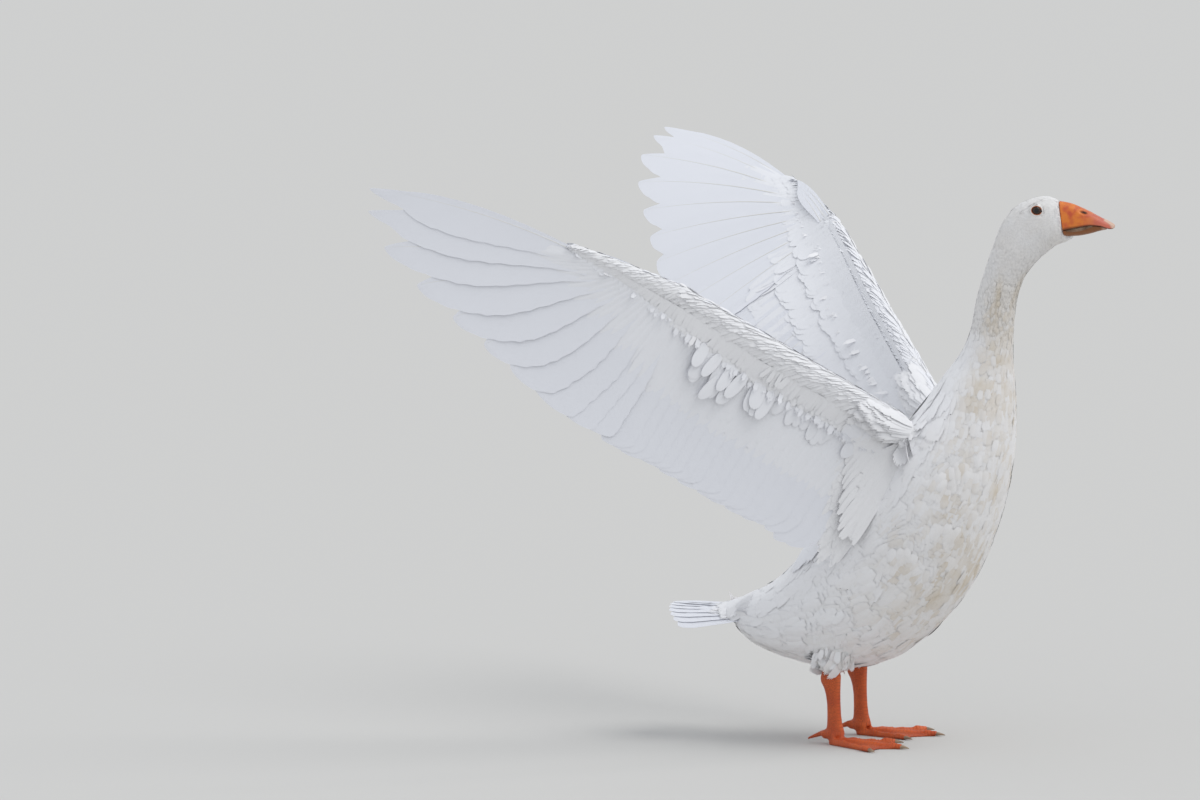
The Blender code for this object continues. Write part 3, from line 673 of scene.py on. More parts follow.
TEMPLATES = {
    "tuft": [feather_template(4, 4, 0.50, 0.65, seed) for seed in (1, 2, 3)],
    "soft": [feather_template(7, 6, 0.74, 0.70, seed) for seed in (4, 5, 6)],
    "silk": [feather_template(4, 5, 0.75, 0.70, seed) for seed in (7, 8, 9)],
    "cover": [rounded_template(6, 8, 0.66)],
}


class Coat:
    """One piece of plumage: many copies of a few templates joined into one mesh."""

    def __init__(self, name, kind, material):
        self.name, self.kind, self.material = name, kind, material
        self.rows = []

    def add(self, root, along, normal, length, width, lift, curl, cup, soil_and_shade, uv, bend=0.0):
        """root in mm; lift is the slope at the root, curl how far the tip bends back down.

        bend is the curvature of the surface that the feather follows, per mm.
        """
        self.rows.append((*root, *along, *normal, length, width, lift, curl, cup, soil_and_shade, *uv,
                          CHANCE.uniform(-0.10, 0.10), bend))

    def build(self):
        rows = np.array(self.rows)
        kinds = TEMPLATES[self.kind]
        verts, faces, uvs, vanes, soil_and_shade_values = [], [], [], [], []
        base = 0
        for k, (points, quads, maps) in enumerate(kinds):
            part = rows[k::len(kinds)]
            if not len(part):
                continue
            root, along, normal = part[:, 0:3], part[:, 3:6], part[:, 6:9]
            along = along - normal * (along * normal).sum(1, keepdims=True)
            along /= np.linalg.norm(along, axis=1, keepdims=True) + 1e-9
            side = np.cross(normal, along)
            length, width, lift, curl, cup, soil_and_shade, u, v, yaw, bend = part[:, 9:19].T
            x, y, z = points.T
            px = x[None, :] * length[:, None]
            py = y[None, :] * width[:, None] + yaw[:, None] * px * x[None, :]
            pz = (lift[:, None] * px - curl[:, None] * px * x[None, :] ** 2
                  - cup[:, None] * width[:, None] * (2 * y[None, :]) ** 2 * 0.25
                  + z[None, :] * length[:, None])
            # The feather follows the arch of the surface below it
            arch = np.where(np.abs(bend) < 1e-4, 1e-4, bend)[:, None]
            turn = arch * px
            px, pz = np.sin(turn) * (1 / arch + pz), np.cos(turn) * (1 / arch + pz) - 1 / arch
            co = root[:, None, :] + along[:, None, :] * px[..., None] + side[:, None, :] * py[..., None]
            co += normal[:, None, :] * pz[..., None]
            count = len(part)
            verts.append(co.reshape(-1, 3))
            first = np.arange(count) * len(points) + base
            faces.append((quads[None] + first[:, None, None]).reshape(-1, 4))
            loops = quads.reshape(-1)
            patches = np.stack([u, v], 1)[:, None, :] + (maps - 0.5) * BAKE_PATCH
            uvs.append(patches[:, loops].reshape(-1, 2))
            vanes.append(np.tile(maps[loops], (count, 1)))
            soil_and_shade_values.append((soil_and_shade[:, None] * np.ones(len(points))).reshape(-1))
            base += count * len(points)
        return mesh_object(self.name, np.concatenate(verts), np.concatenate(faces), np.concatenate(uvs),
                           np.concatenate(vanes), np.concatenate(soil_and_shade_values), self.material)


def mesh_object(name, verts, faces, uvs, vanes, soil_and_shade_values, material, sharp_rims=False):
    """A mesh of quads from arrays, with its bake map, vane map and each vertex's mix of soil and painted shade.
    """
    mesh = bpy.data.meshes.new(name)
    co = verts * MM + np.array(SHIFT)
    mesh.vertices.add(len(co))
    mesh.vertices.foreach_set("co", co.astype(np.float32).ravel())
    mesh.loops.add(faces.size)
    mesh.loops.foreach_set("vertex_index", faces.astype(np.int32).ravel())
    mesh.polygons.add(len(faces))
    mesh.polygons.foreach_set("loop_start", np.arange(0, faces.size, faces.shape[1], dtype=np.int32))
    mesh.update(calc_edges=True)
    mesh.shade_smooth()
    if sharp_rims:
        mesh.set_sharp_from_angle(angle=math.radians(35))
    for label, values in (("OFBake", uvs), ("vane", vanes)):
        layer = mesh.uv_layers.new(name=label)
        layer.data.foreach_set("uv", values.astype(np.float32).ravel())
    mark(mesh, "soil_and_shade", soil_and_shade_values.astype(np.float32))
    return finished(name, mesh, material)


# ---------------------------------------------------------------- skin

FLESH = ["head", "neck_upper", "neck_lower", "breast", "trunk", "rump", "thigh_left", "thigh_right"]
FLESH += [f"wing_{side}_{part}" for side in WINGS for part in ("upper_arm", "forearm", "hand")]
SKIN_VOXEL = 0.0030
EYE_DETAIL = (0.020, 0.014)             # the skin is cut finer this near to an eye, once for each
CHIN, CHIN_HALF, CHIN_SLOPE = (228.0, 0, 612.2), (16.0, 8.5, 4.8), math.radians(27)    # under the bill
THIGH_BASE, THIGH_ROUND = 101.0, 0.12   # the white of the thigh ends here, on a nearly flat base
OVERLAP = 0.0004                        # flesh nodes are swollen by this much so that they join


def thigh_middle(side, t):
    return SIGN[side] * (LEG_OUT - THIGH_LEAN * (1 - t / 3))


class Lie:
    """Directions, places and kinds of plumage over the whole skin, looked up by nearness."""

    def __init__(self):
        self.rows = []
        self.body()
        for side in WINGS:
            self.wing(WING[side])
            self.thigh(side)
        self.tree = kdtree.KDTree(len(self.rows))
        for i, row in enumerate(self.rows):
            self.tree.insert(row[0], i)
        self.tree.balance()

    def body(self):
        for t in steps(0.0, LAST, 240):
            for k in range(64):
                angle = 2 * math.pi * (k + 0.5) / 64
                here = body_point(t, angle)
                ahead = body_point(min(t + 0.05, LAST), angle) - body_point(max(t - 0.05, 0), angle)
                turn = (angle / (2 * math.pi)) % 1.0
                self.rows.append((here, -ahead.normalized(), "body", t, angle,
                                  (0.02 + 0.52 * t / LAST, 0.03 + 0.60 * turn)))

    def wing(self, wing):
        for s in steps(0.0, 1 + KNUCKLE, 110):
            for f in steps(0.0, 1.0, 14):
                for face in (1, -1):
                    here = wing.surface(s, f, face)
                    round_edge = (wing.surface(s, min(f + 0.04, 1), face)
                                  - wing.surface(s, max(f - 0.04, 0), face)).normalized()
                    outward = (round_edge * 0.40 + wing.span(s)).normalized()
                    lie = mix(outward, wing.lie(s), smoothstep((f - 0.1) / 0.65)).normalized()
                    self.rows.append((here, lie, "wing_" + wing.side, s, face * max(f, 0.01),
                                      wing_uv(wing.side, s, f, face)))

    def thigh(self, side):
        for t in steps(1.2, 3, 24):
            x, z, along, across = spline(THIGH, t)
            y = thigh_middle(side, t)
            for k in range(24):
                angle = 2 * math.pi * k / 24
                here = Vector((x + along * math.cos(angle), y + across * math.sin(angle), z))
                self.rows.append((here, Vector((-0.15, 0, -1)).normalized(), "thigh", t, angle,
                                  (0.05 + 0.2 * k / 24 + (0.25 if side == "left" else 0), 0.70 + 0.1 * t)))

    def at(self, point):
        """Nearest entries, blended by nearness."""
        found = self.tree.find_n(point, 4)
        weights = [1 / (0.2 + distance) for _, _, distance in found]
        total = sum(weights)
        flow = sum((self.rows[i][1] * w for (_, i, _), w in zip(found, weights)), Vector()) / total
        near = self.rows[found[0][1]]
        same = [(self.rows[i], w) for (_, i, _), w in zip(found, weights)
                if self.rows[i][2] == near[2] and abs(self.rows[i][5][1] - near[5][1]) < 0.05]
        total = sum(w for _, w in same)
        uv = tuple(sum(row[5][k] * w for row, w in same) / total for k in (0, 1))
        return near, flow.normalized(), uv


LIE = Lie()


def coat_depth(near):
    """How far the skin lies below the outer surface, in mm."""
    _, _, where, t, angle, _ = near
    if where == "thigh":
        return 4.0
    if where.startswith("wing"):
        return 3.2 if t < 1 else mix(2.6, 1.2, (t - 1) / KNUCKLE)
    keys = ((0, 5), (2, 7), (8, 8), (11, 5.5), (14, 3.6), (18, 2.4), (20.5, 1.5), (24, 0.7))
    for (a, low), (b, high) in zip(keys, keys[1:]):
        if t <= b:
            return mix(low, high, (t - a) / (b - a))
    return keys[-1][1]


def scattered_clumps(count, spread=15.0):
    """Centres of the clumps that the tufts of the body gather into."""
    chance = random.Random(5)
    tree = kdtree.KDTree(count)
    for i in range(count):
        tree.insert(body_point(chance.uniform(0.5, spread), chance.uniform(0, 2 * math.pi)), i)
    tree.balance()
    return tree


CLUMPS = scattered_clumps(900)


def clump(point):
    """Nearest clump's centre, and how close the point is to the groove between two clumps (0 to 1)."""
    (first, _, near), (_, _, far) = CLUMPS.find_n(point, 2)
    return first, 1 - smoothstep((far - near) / 5.0)


def soil_and_shade_at(point, near):
    """How much beige a feather mixes in: painted shade in the grooves between the breast's clumps and on the
    throat, soil and painted shade over the breast and along the belly, and a flat 0.10 on the thigh.
    """
    _, _, where, t, angle, _ = near
    if where != "body":
        return 0.10 if where == "thigh" else 0.0
    front = smoothstep((t - 4) / 3) * (1 - smoothstep((t - 15) / 3))
    under = smoothstep((-math.cos(angle) + 0.55) / 0.9)
    _, groove = clump(point)
    belly = 0.35 * smoothstep((-math.cos(angle) - 0.3) / 0.6) * (1 - smoothstep((t - 7) / 3))
    throat = 0.30 * smoothstep((t - 12) / 3) * (1 - smoothstep((t - 23.5) / 0.8))
    return min(1.0, front * under * (0.24 + 0.62 * groove * groove) + belly * (0.4 + 0.5 * groove) + throat)


def eye_frame(side):
    """Eye centre, outward direction, forward direction and up, turned with the head."""
    turn = Matrix.Rotation(math.radians(HEAD_YAW), 3, "Z")
    out = turn @ Vector((0.16, SIGN[side], 0.10)).normalized()
    ahead = turn @ Vector((1, 0, -0.12))
    ahead = (ahead - out * ahead.dot(out)).normalized()
    above = ahead.cross(out) * -SIGN[side]
    if above.z < 0:
        above = -above
    return EYES[side], out, ahead, above


LID_LENGTH, LID_HEIGHT = 6.2, 5.2      # half size of the eye's opening
LID_OUT = 0.9                          # lids lie this far off the eyeball


def shape_lids(co):
    """Draws a skin vertex near an eye onto the lids, or behind the eyeball inside the opening."""
    for side in SIGN:
        centre, out, ahead, above = eye_frame(side)
        rel = co - centre
        if rel.length > 17 or rel.dot(out) < -2:
            continue
        x, y = rel.dot(ahead), rel.dot(above)
        ring = math.hypot(x / LID_LENGTH, y / LID_HEIGHT)
        if ring < 1.0:
            flat = out * math.sqrt(max((EYE_RADIUS - 2.0) ** 2 - x * x - y * y, 1.0))
            return centre + ahead * x + above * y + flat
        radius = EYE_RADIUS + LID_OUT
        cover = math.sqrt(max(radius * radius - (x * x + y * y), 0.0))
        f = smoothstep((ring - 1.0) / 0.75)
        lid = mix(cover, rel.dot(out), f)
        brow = 0.8 * math.exp(-((y - 8.5) / 3.0) ** 2 - (x / 9.0) ** 2)
        return centre + ahead * x + above * y + out * (max(lid, cover if ring < 1.35 else 0) + brow * f)
    return co


def add_flesh(bm, name):
    """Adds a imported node, swollen a little so that it joins its neighbours."""
    part = bmesh.new()
    part.from_mesh(nodes[name].data)
    bmesh.ops.remove_doubles(part, verts=part.verts, dist=WELD)
    part.normal_update()
    for v in part.verts:
        v.co += v.normal * OVERLAP
    copy = mesh_from(part, name + "_copy")
    bm.from_mesh(copy)
    bpy.data.meshes.remove(copy)


def add_ball(bm, spot, radius, subdivisions=3):
    ball = bmesh.ops.create_icosphere(bm, subdivisions=subdivisions, radius=radius * MM)
    bmesh.ops.translate(bm, verts=ball["verts"], vec=place(spot))


def remeshed(bm, voxel, smoothings):
    """One closed, smoothed surface round everything in a bmesh in metres."""
    mesh = mesh_from(bm, "draft")
    draft = in_scene("draft", mesh)
    change = draft.modifiers.new("remesh", "REMESH")
    change.mode = "VOXEL"
    change.voxel_size = voxel
    made = bpy.data.meshes.new_from_object(draft.evaluated_get(bpy.context.evaluated_depsgraph_get()))
    bpy.data.objects.remove(draft)
    bpy.data.meshes.remove(mesh)
    bm = bmesh.new()
    bm.from_mesh(made)
    bpy.data.meshes.remove(made)
    for _ in range(smoothings):
        bmesh.ops.smooth_vert(bm, verts=bm.verts, factor=0.5,
                              use_axis_x=True, use_axis_y=True, use_axis_z=True)
    return bm


def make_skin():
    """One skin through all the flesh nodes, drawn in by the depth of the coat."""
    bm = bmesh.new()
    for name in FLESH:
        add_flesh(bm, name)
    for side in WINGS:
        add_ball(bm, EYES[side] - eye_frame(side)[1] * 3.6, EYE_RADIUS + 1.2)
    chin = bmesh.ops.create_icosphere(bm, subdivisions=4, radius=MM)
    slope = Matrix.Rotation(math.radians(HEAD_YAW), 4, "Z") @ Matrix.Rotation(-CHIN_SLOPE, 4, "Y")
    spot = Matrix.Translation(place(turn_head(CHIN, LAST)))
    bmesh.ops.transform(bm, verts=chin["verts"], matrix=spot @ slope @ Matrix.Diagonal((*CHIN_HALF, 1.0)))
    bm = remeshed(bm, SKIN_VOXEL, 3)
    near_eyes = [place(EYES[side]) for side in WINGS]
    for reach in EYE_DETAIL:
        edges = [e for e in bm.edges
                 if any((e.verts[0].co - eye).length < reach for eye in near_eyes)]
        bmesh.ops.subdivide_edges(bm, edges=edges, cuts=1, use_grid_fill=True, smooth=0.3)
    bm.normal_update()
    for v in bm.verts:
        point = in_bird(v.co)
        near, _, _ = LIE.at(point)
        point = shape_lids(point - v.normal * coat_depth(near))
        if near[2] == "thigh" and point.z < THIGH_BASE:
            point.z = THIGH_BASE - (THIGH_BASE - point.z) * THIGH_ROUND
        v.co = place(point)
    bmesh.ops.triangulate(bm, faces=[f for f in bm.faces if len(f.verts) > 4])
    bm.normal_update()
    mesh = mesh_from(bm, "skin")
    mesh.shade_smooth()
    # The skin carries the same mix of soil and painted shade as the feathers over it.
    mark(mesh, "soil_and_shade", [soil_and_shade_at(p, LIE.at(p)[0]) for p in (in_bird(v.co) for v in mesh.vertices)])
    skin = finished("skin", mesh, "skin")
    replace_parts(skin, *FLESH)
    return skin


skin = make_skin()
print("skin", len(skin.data.polygons))


# ---------------------------------------------------------------- plumage that grows on the skin

# region: spacing, length, width, lift, curl, kind of template
REGIONS = {
    "face": (1.8, 3.8, 2.3, 0.05, 0.06, "tuft"),
    "nape": (2.2, 6.0, 3.2, 0.07, 0.09, "tuft"),
    "neck_upper": (2.9, 10.5, 4.0, 0.10, 0.11, "tuft"),
    "neck_lower": (4.0, 15.0, 8.0, 0.02, 0.05, "soft"),
    "breast": (4.9, 19.0, 11.0, 0.02, 0.06, "soft"),
    "belly": (6.0, 27.0, 14.0, 0.02, 0.05, "soft"),
    "back": (7.0, 32.0, 18.0, 0.03, 0.05, "soft"),
    "rump": (6.0, 26.0, 13.0, 0.03, 0.05, "soft"),
    "thigh": (4.2, 15.0, 8.0, 0.02, 0.05, "soft"),
    "arm_under": (2.9, 26.0, 5.4, 0.012, 0.02, "silk"),
    "arm_over": (3.3, 22.0, 6.4, 0.012, 0.02, "silk"),
    "hand_under": (2.6, 14.0, 3.6, 0.02, 0.04, "silk"),
    "hand_over": (3.0, 13.0, 4.6, 0.02, 0.04, "silk"),
}
TRIES = 240000              # places tried over the whole skin
CELL, GAP_CELL = 8.0, 6.0   # mm; a cell is wider than the widest spacing
NEIGHBOURS = [(x, y, z) for x in (-1, 0, 1) for y in (-1, 0, 1) for z in (-1, 0, 1)]
MOST_BEND = {"thigh": 0.012, "rump": 0.012, "arm_over": 0.05, "hand_over": 0.05,
             "arm_under": 0.06, "hand_under": 0.06}          # per mm


def region(near):
    """Which of the regions a place on the skin belongs to."""
    _, _, where, t, angle, _ = near
    if where == "thigh":
        return "thigh"
    if where.startswith("wing"):
        part = "arm" if t < 0.96 else "hand"
        return part + ("_over" if angle > 0 else "_under")
    if t > 21.0:
        return "face"
    if t > 18.5:
        return "nape"
    if t > 14.0:
        return "neck_upper"
    if t > 10.3:
        return "neck_lower"
    top = math.cos(angle)
    if t < 2.0:
        return "rump"
    if top > 0.30:
        return "back"
    return "breast" if t > 6.0 else "belly"


def scatter(skin):
    """Root places spread evenly over the skin, closer together where feathers are small."""
    mesh = skin.data
    mesh.calc_loop_triangles()
    corners = np.empty(len(mesh.loop_triangles) * 3, np.int32)
    mesh.loop_triangles.foreach_get("vertices", corners)
    co = np.empty(len(mesh.vertices) * 3, np.float32)
    mesh.vertices.foreach_get("co", co)
    co = (co.reshape(-1, 3) - np.array(SHIFT)) / MM
    tri = co[corners.reshape(-1, 3)]
    normal = np.cross(tri[:, 1] - tri[:, 0], tri[:, 2] - tri[:, 0])
    area = np.linalg.norm(normal, axis=1) / 2
    normal /= (area[:, None] * 2 + 1e-12)
    rng = np.random.default_rng(3)
    order = rng.choice(len(tri), size=TRIES, p=area / area.sum())
    a, b = rng.random((2, len(order), 1))
    flip = a + b > 1
    a, b = np.where(flip, 1 - a, a), np.where(flip, 1 - b, b)
    points = tri[order, 0] * (1 - a - b) + tri[order, 1] * a + tri[order, 2] * b
    kept, cells, gaps = [], {}, {}
    for point, outward in zip(points, normal[order]):
        key = tuple((point // GAP_CELL).astype(int))
        if key not in gaps:
            gaps[key] = REGIONS[region(LIE.at(Vector(point))[0])][0]
        least = gaps[key] ** 2
        cell = tuple((point // CELL).astype(int))
        close = any((q[0] - point[0]) ** 2 + (q[1] - point[1]) ** 2 + (q[2] - point[2]) ** 2 < least
                    for step in NEIGHBOURS
                    for q in cells.get((cell[0] + step[0], cell[1] + step[1], cell[2] + step[2]), ()))
        if not close:
            cells.setdefault(cell, []).append(tuple(point))
            kept.append((Vector(point), Vector(outward)))
    return kept


def near_an_eye(point):
    for side in WINGS:
        centre, out, ahead, above = eye_frame(side)
        rel = point - centre
        ring = math.hypot(rel.dot(ahead) / LID_LENGTH, rel.dot(above) / LID_HEIGHT)
        if rel.length < 14 and rel.dot(out) > 0 and ring < 1.28:
            return True
    return False


def skin_tree(skin):
    """The skin as a tree for lookups, in the bird's own millimetres."""
    points = [in_bird(v.co) for v in skin.data.vertices]
    return bvhtree.BVHTree.FromPolygons(points, [tuple(p.vertices) for p in skin.data.polygons])


def bend_below(tree, point, along, length, most):
    """Curvature of the skin from a root towards a feather's tip, up to a limit."""
    reach = 0.6 * length
    spot, normal, _, _ = tree.find_nearest(point + along * reach)
    if spot is None:
        return 0.0
    tip_lean = min(max(normal.dot(along), -0.3), 0.97)
    return max(min(math.asin(tip_lean) / reach, most), -0.01)


def grow_coat(skin):
    coats = {}
    tree = skin_tree(skin)
    for point, normal in scatter(skin):
        near, flow, uv = LIE.at(point)
        where = region(near)
        steep, on_wing = abs(normal.dot(flow)), near[2].startswith("wing")
        if near_an_eye(point) or (where == "thigh" and steep > 0.6) or (on_wing and steep > 0.7):
            continue
        _, length, width, lift, curl, kind = REGIONS[where]
        t, angle = near[3], near[4]
        along = (flow - normal * flow.dot(normal)).normalized()
        raise_by = 0.0
        if near[2] == "body" and t < 16:
            spot, groove = clump(point + flow * length * 0.6)
            pull = spot - (point + along * length)
            pull -= normal * pull.dot(normal)
            loose = smoothstep((0.5 - math.cos(angle)) / 0.6) * smoothstep((t - 2) / 2)
            along = (along + pull * mix(0.06, 0.22, loose) / length).normalized()
            loose *= 1 - 0.75 * smoothstep((-math.cos(angle) - 0.62) / 0.3)
            raise_by = (1 - groove) * mix(0.2, 1.3, loose)
            normal = (normal - pull * mix(0.0, 0.010, loose)).normalized()
            along = (along - normal * along.dot(normal)).normalized()
        scale = CHANCE.uniform(0.85, 1.15)
        most = MOST_BEND.get(where, 0.03)
        if on_wing:
            most *= 1 - smoothstep((abs(angle) - 0.25) / 0.35)
        name = "head" if where in ("face", "nape") else where
        if on_wing:
            name = near[2] + ("_over" if angle > 0 else "_under")
        key = name + "_" + kind
        if key not in coats:
            coats[key] = Coat("feathers_" + key, kind, "short" if kind == "tuft" else
                              "covert" if "over" in name else "down")
        coats[key].add(point + normal * raise_by, along, normal, length * scale,
                       width * CHANCE.uniform(0.85, 1.15), lift + CHANCE.uniform(-0.01, 0.01), curl,
                       0.06 if on_wing else 0.13 + 0.25 * raise_by, soil_and_shade_at(point, near), uv,
                       bend_below(tree, point, along, length, most))
    for key, coat in coats.items():
        made = coat.build()
        print(key, len(coat.rows), sum(len(p.vertices) - 2 for p in made.data.polygons))


grow_coat(skin)


# ---------------------------------------------------------------- flight feathers

def blade_template(along, across):
    """A thin closed sheet: x 0 to 1 from root to tip, y -1 leading to 1 trailing, z 0 below, 1 above."""
    bm = bmesh.new()
    bmesh.ops.create_grid(bm, x_segments=along, y_segments=across, size=0.5)
    bmesh.ops.scale(bm, verts=bm.verts, vec=(1, 2, 1))
    bmesh.ops.translate(bm, verts=bm.verts, vec=(0.5, 0, 0))
    bmesh.ops.solidify(bm, geom=bm.faces[:], thickness=1.0)
    bmesh.ops.recalc_face_normals(bm, faces=bm.faces)
    low = min(v.co.z for v in bm.verts)
    points = np.array([(1 - (1 - v.co.x) ** 1.5, v.co.y, v.co.z - low) for v in bm.verts])
    faces = np.array([[v.index for v in f.verts] for f in bm.faces])
    bm.free()
    return points, faces


def shaft_template(along, sides):
    """A closed tapering rod of unit length and radius."""
    bm = bmesh.new()
    bmesh.ops.create_cone(bm, cap_ends=True, cap_tris=False, segments=sides, radius1=1, radius2=1, depth=1)
    ends = [f for f in bm.faces if len(f.verts) == sides]
    bmesh.ops.poke(bm, faces=ends)
    uprights = [e for e in bm.edges if abs(e.verts[0].co.z - e.verts[1].co.z) > 0.5]
    bmesh.ops.subdivide_edges(bm, edges=uprights, cuts=along - 1, use_grid_fill=True)
    points = np.array([(v.co.z + 0.5, v.co.x, v.co.y) for v in bm.verts])
    faces = [[v.index for v in f.verts] for f in bm.faces]
    bm.free()
    return points, np.array([f if len(f) == 4 else f + f[-1:] for f in faces])


BLADE = blade_template(26, 8)
VANE_THICK = 0.32


class Quills:
    """Large feathers, each drawn out along its own shaft, joined into one piece."""

    def __init__(self, name):
        self.name, self.parts = name, []

    def add(self, root, tip, up, backs, lead, trail, bend, sweep, uv, slot_from=None, point=0.0, tilt=0.03):
        """backs are the ways to the trailing vane at the root and at the tip; lead and trail are the vanes'
        widths; sweep bows the shaft; slot_from narrows the tip."""
        axis = (tip - root).normalized()
        backs = [np.array((back - axis * back.dot(axis)).normalized()) for back in backs]
        self.parts.append((np.array(root), np.array(tip), np.array(up), backs,
                           lead, trail, bend, sweep, slot_from, point, tilt, CHANCE.random(), np.array(uv)))

    def line(self, part, x):
        root, tip, up, backs, _, _, bend, sweep = part[:8]
        x = np.asarray(x)[..., None]
        return root + (tip - root) * x + up * bend * 4 * x * (1 - x) - backs[1] * sweep * 4 * x * (1 - x)

    def across(self, part, x):
        """Ways to the trailing vane and up from the vane, at each place along the feather."""
        root, tip, up, backs = part[:4]
        x = np.asarray(x)[..., None]
        back = backs[0] * (1 - x) + backs[1] * x
        back /= np.linalg.norm(back, axis=1, keepdims=True)
        above = np.cross((tip - root) / np.linalg.norm(tip - root), back)
        return back, above if above[0].dot(up) > 0 else -above

    def outline(self, part, x):
        """Width of both vanes along the feather, as a share of the full width."""
        slot_from, point = part[8], part[9]
        body = 0.42 + 0.58 * np.sin(np.clip(x / 0.6, 0, 1) * math.pi / 2) ** 1.5
        start = 0.92 - 0.42 * point
        tip = np.clip(1 - np.clip((x - start) / (1.002 - start), 0, 1) ** (2.1 - 0.3 * point), 0, 1)
        tip = tip ** (0.5 + 0.20 * point)
        width = body * tip
        if slot_from is not None:
            f = np.clip((x - slot_from) / 0.12, 0, 1)
            width = width * (1 - 0.30 * f * f * (3 - 2 * f))
        return width

    def build(self):
        points, quads = BLADE
        rod, rod_quads = SHAFT
        verts, faces, uvs, vanes, soil_and_shade_values = [], [], [], [], []
        base = 0
        shaft_verts, shaft_faces, shaft_uvs = [], [], []
        for i, part in enumerate(self.parts):
            lead, trail = part[4:6]
            point, tilt, seed, patch = part[9:]
            x, y, z = points.T
            back, up = self.across(part, x)
            ragged = 1 + 0.02 * np.sin(x * 61 + seed * 9) * (np.abs(y) > 0.9)
            width = np.where(y < 0, lead, trail) * self.outline(part, x) * ragged
            off = y * width
            height = ((z - 0.5) * VANE_THICK * (1 - 0.45 * np.abs(y)) - off * tilt * (1.35 - 0.9 * x)
                      - (0.00015 + 0.0006 * point) * off * off)
            co = self.line(part, x) + back * off[:, None] + up * height[:, None]
            verts.append(co)
            faces.append(quads + base)
            loops = quads.reshape(-1)
            local = np.stack([y / 2, np.where(z > 0.5, 0.5 * x - 0.5, 0.5 * x)], 1)
            uvs.append((patch + BAKE_PATCH * local)[loops])
            vanes.append(np.stack([(y + 1) / 2, x + seed], 1)[loops])
            soil_and_shade_values.append(np.zeros(len(points)))
            base += len(points)
            rx, ry, rz = rod.T
            radius = mix(1.1, 0.25, rx) * (0.9 if lead > 12 else 0.55)
            back, up = self.across(part, rx)
            spine = self.line(part, rx * 0.985)
            shaft_verts.append(spine + back * (ry * radius)[:, None] + up * (rz * radius * 0.85)[:, None])
            shaft_faces.append(rod_quads + i * len(rod))
            shaft_uvs.append(patch + BAKE_PATCH * np.stack([ry / 2, rx - 0.5], 1))
        made = mesh_object(self.name, np.concatenate(verts), np.concatenate(faces), np.concatenate(uvs),
                           np.concatenate(vanes), np.concatenate(soil_and_shade_values), "flight", True)
        self.build_shafts(np.concatenate(shaft_verts), np.concatenate(shaft_faces), np.concatenate(shaft_uvs))
        return made

    def build_shafts(self, verts, faces, uvs):
        mesh = bpy.data.meshes.new(self.name + "_shafts")
        mesh.from_pydata([tuple(place(v)) for v in verts], [],
                         [f[:3] if f[2] == f[3] else f for f in faces.tolist()])
        mesh.shade_smooth()
        corners = np.empty(len(mesh.loops), np.int32)
        mesh.loops.foreach_get("vertex_index", corners)
        mesh.uv_layers.new(name="OFBake").data.foreach_set("uv", uvs[corners].astype(np.float32).ravel())
        finished(self.name + "_shafts", mesh, "shaft")


SHAFT = shaft_template(14, 6)
ROOT_INSIDE = 12.0         # a quill starts this far inside the flesh
PRIMARY_WIDTHS = (36, 48, 58, 58, 56, 54, 50, 44, 40, 34)     # trailing vanes, from the innermost
SLOTTED = 7                # primaries past this one are narrowed towards their tips


def make_flight_feathers(side):
    wing = WING[side]
    quills = Quills(f"wing_{side}_quills")
    for n in range(PRIMARIES):
        number = n + 0.5
        f = n / (PRIMARIES - 1)
        root, tip = wing.primary_root(number), wing.primary_tip(number)
        axis = (tip - root).normalized()
        station = wing.hand_station(number)
        back = -(wing.primary_tip(number + 0.5) - wing.primary_tip(number - 0.5))
        back -= axis * back.dot(axis)
        slot = mix(0.86, 0.74, (n - SLOTTED) / 2) if n > SLOTTED else None
        quills.add(root - axis * ROOT_INSIDE, tip, wing.up(station), (back, back), mix(20, 8, f ** 2),
                   PRIMARY_WIDTHS[n], 2.5, mix(2, 10, f), wing_uv(side, station, 1, 1), slot,
                   smoothstep((f - 0.1) / 0.5) * 0.90, 0.028)
    # place along the arm, how far the tip may fall short or reach out, widths of the leading and the
    # trailing vane, sweep, point
    rows = [(mix(TERTIAL_END, 1.0, (n + 0.5) / SECONDARIES), (-3, 1), 9.0, 38.0, 2.0, 0.05)
            for n in range(SECONDARIES)]
    rows += [(mix(INNER_START + 0.01, TERTIAL_END, (n + 0.2) / (TERTIALS + 0.4)), (-6, 2),
              10.0, 36.0, 3.0, 0.3) for n in range(TERTIALS + 1)]
    for s, (short, far), lead, trail, sweep, point in rows:
        reach = CHANCE.uniform(short, far)
        backs = [wing.inward(s, behind) for behind in (wing.flesh(s)[0], wing.chord_length)]
        quills.add(wing.rear(s) - wing.chord(s) * ROOT_INSIDE, wing.trailing(s) + wing.chord(s) * reach,
                   wing.up(s), backs, lead, trail, 2.5, sweep, wing_uv(side, s, 1, 1), None, point, 0.030)
    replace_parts(quills.build(), *(f"wing_{side}_{part}" for part in ("primaries", "secondaries", "tertials")))
    thumb = Quills(f"wing_{side}_thumb")

    def on_hand(station, back, rise):
        return (wing.edge(station) + wing.chord(station) * back
                + wing.up(station) * (wing.flesh(station)[1] / 2 + rise))
    for n in range(ALULA_FEATHERS):
        f = (n + 0.5) / ALULA_FEATHERS
        s = ALULA_STATION + ALULA_LENGTH * mix(0.72, 1.0, f) / wing.hand_length
        thumb.add(on_hand(ALULA_STATION, mix(ALULA_WIDTH, 6.0, f), -3.0),
                  on_hand(s, mix(ALULA_WIDTH * 0.7, 2.0, f), 2.0),
                  wing.up(1.15), [wing.chord(1.15)] * 2, 4.0, 8.0, 1.0, 1.5,
                  wing_uv(side, ALULA_STATION, 0.2, 1), None, 0.8, 0.03)
    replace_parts(thumb.build(), f"wing_{side}_alula")


TAIL_DROOP = 9.0


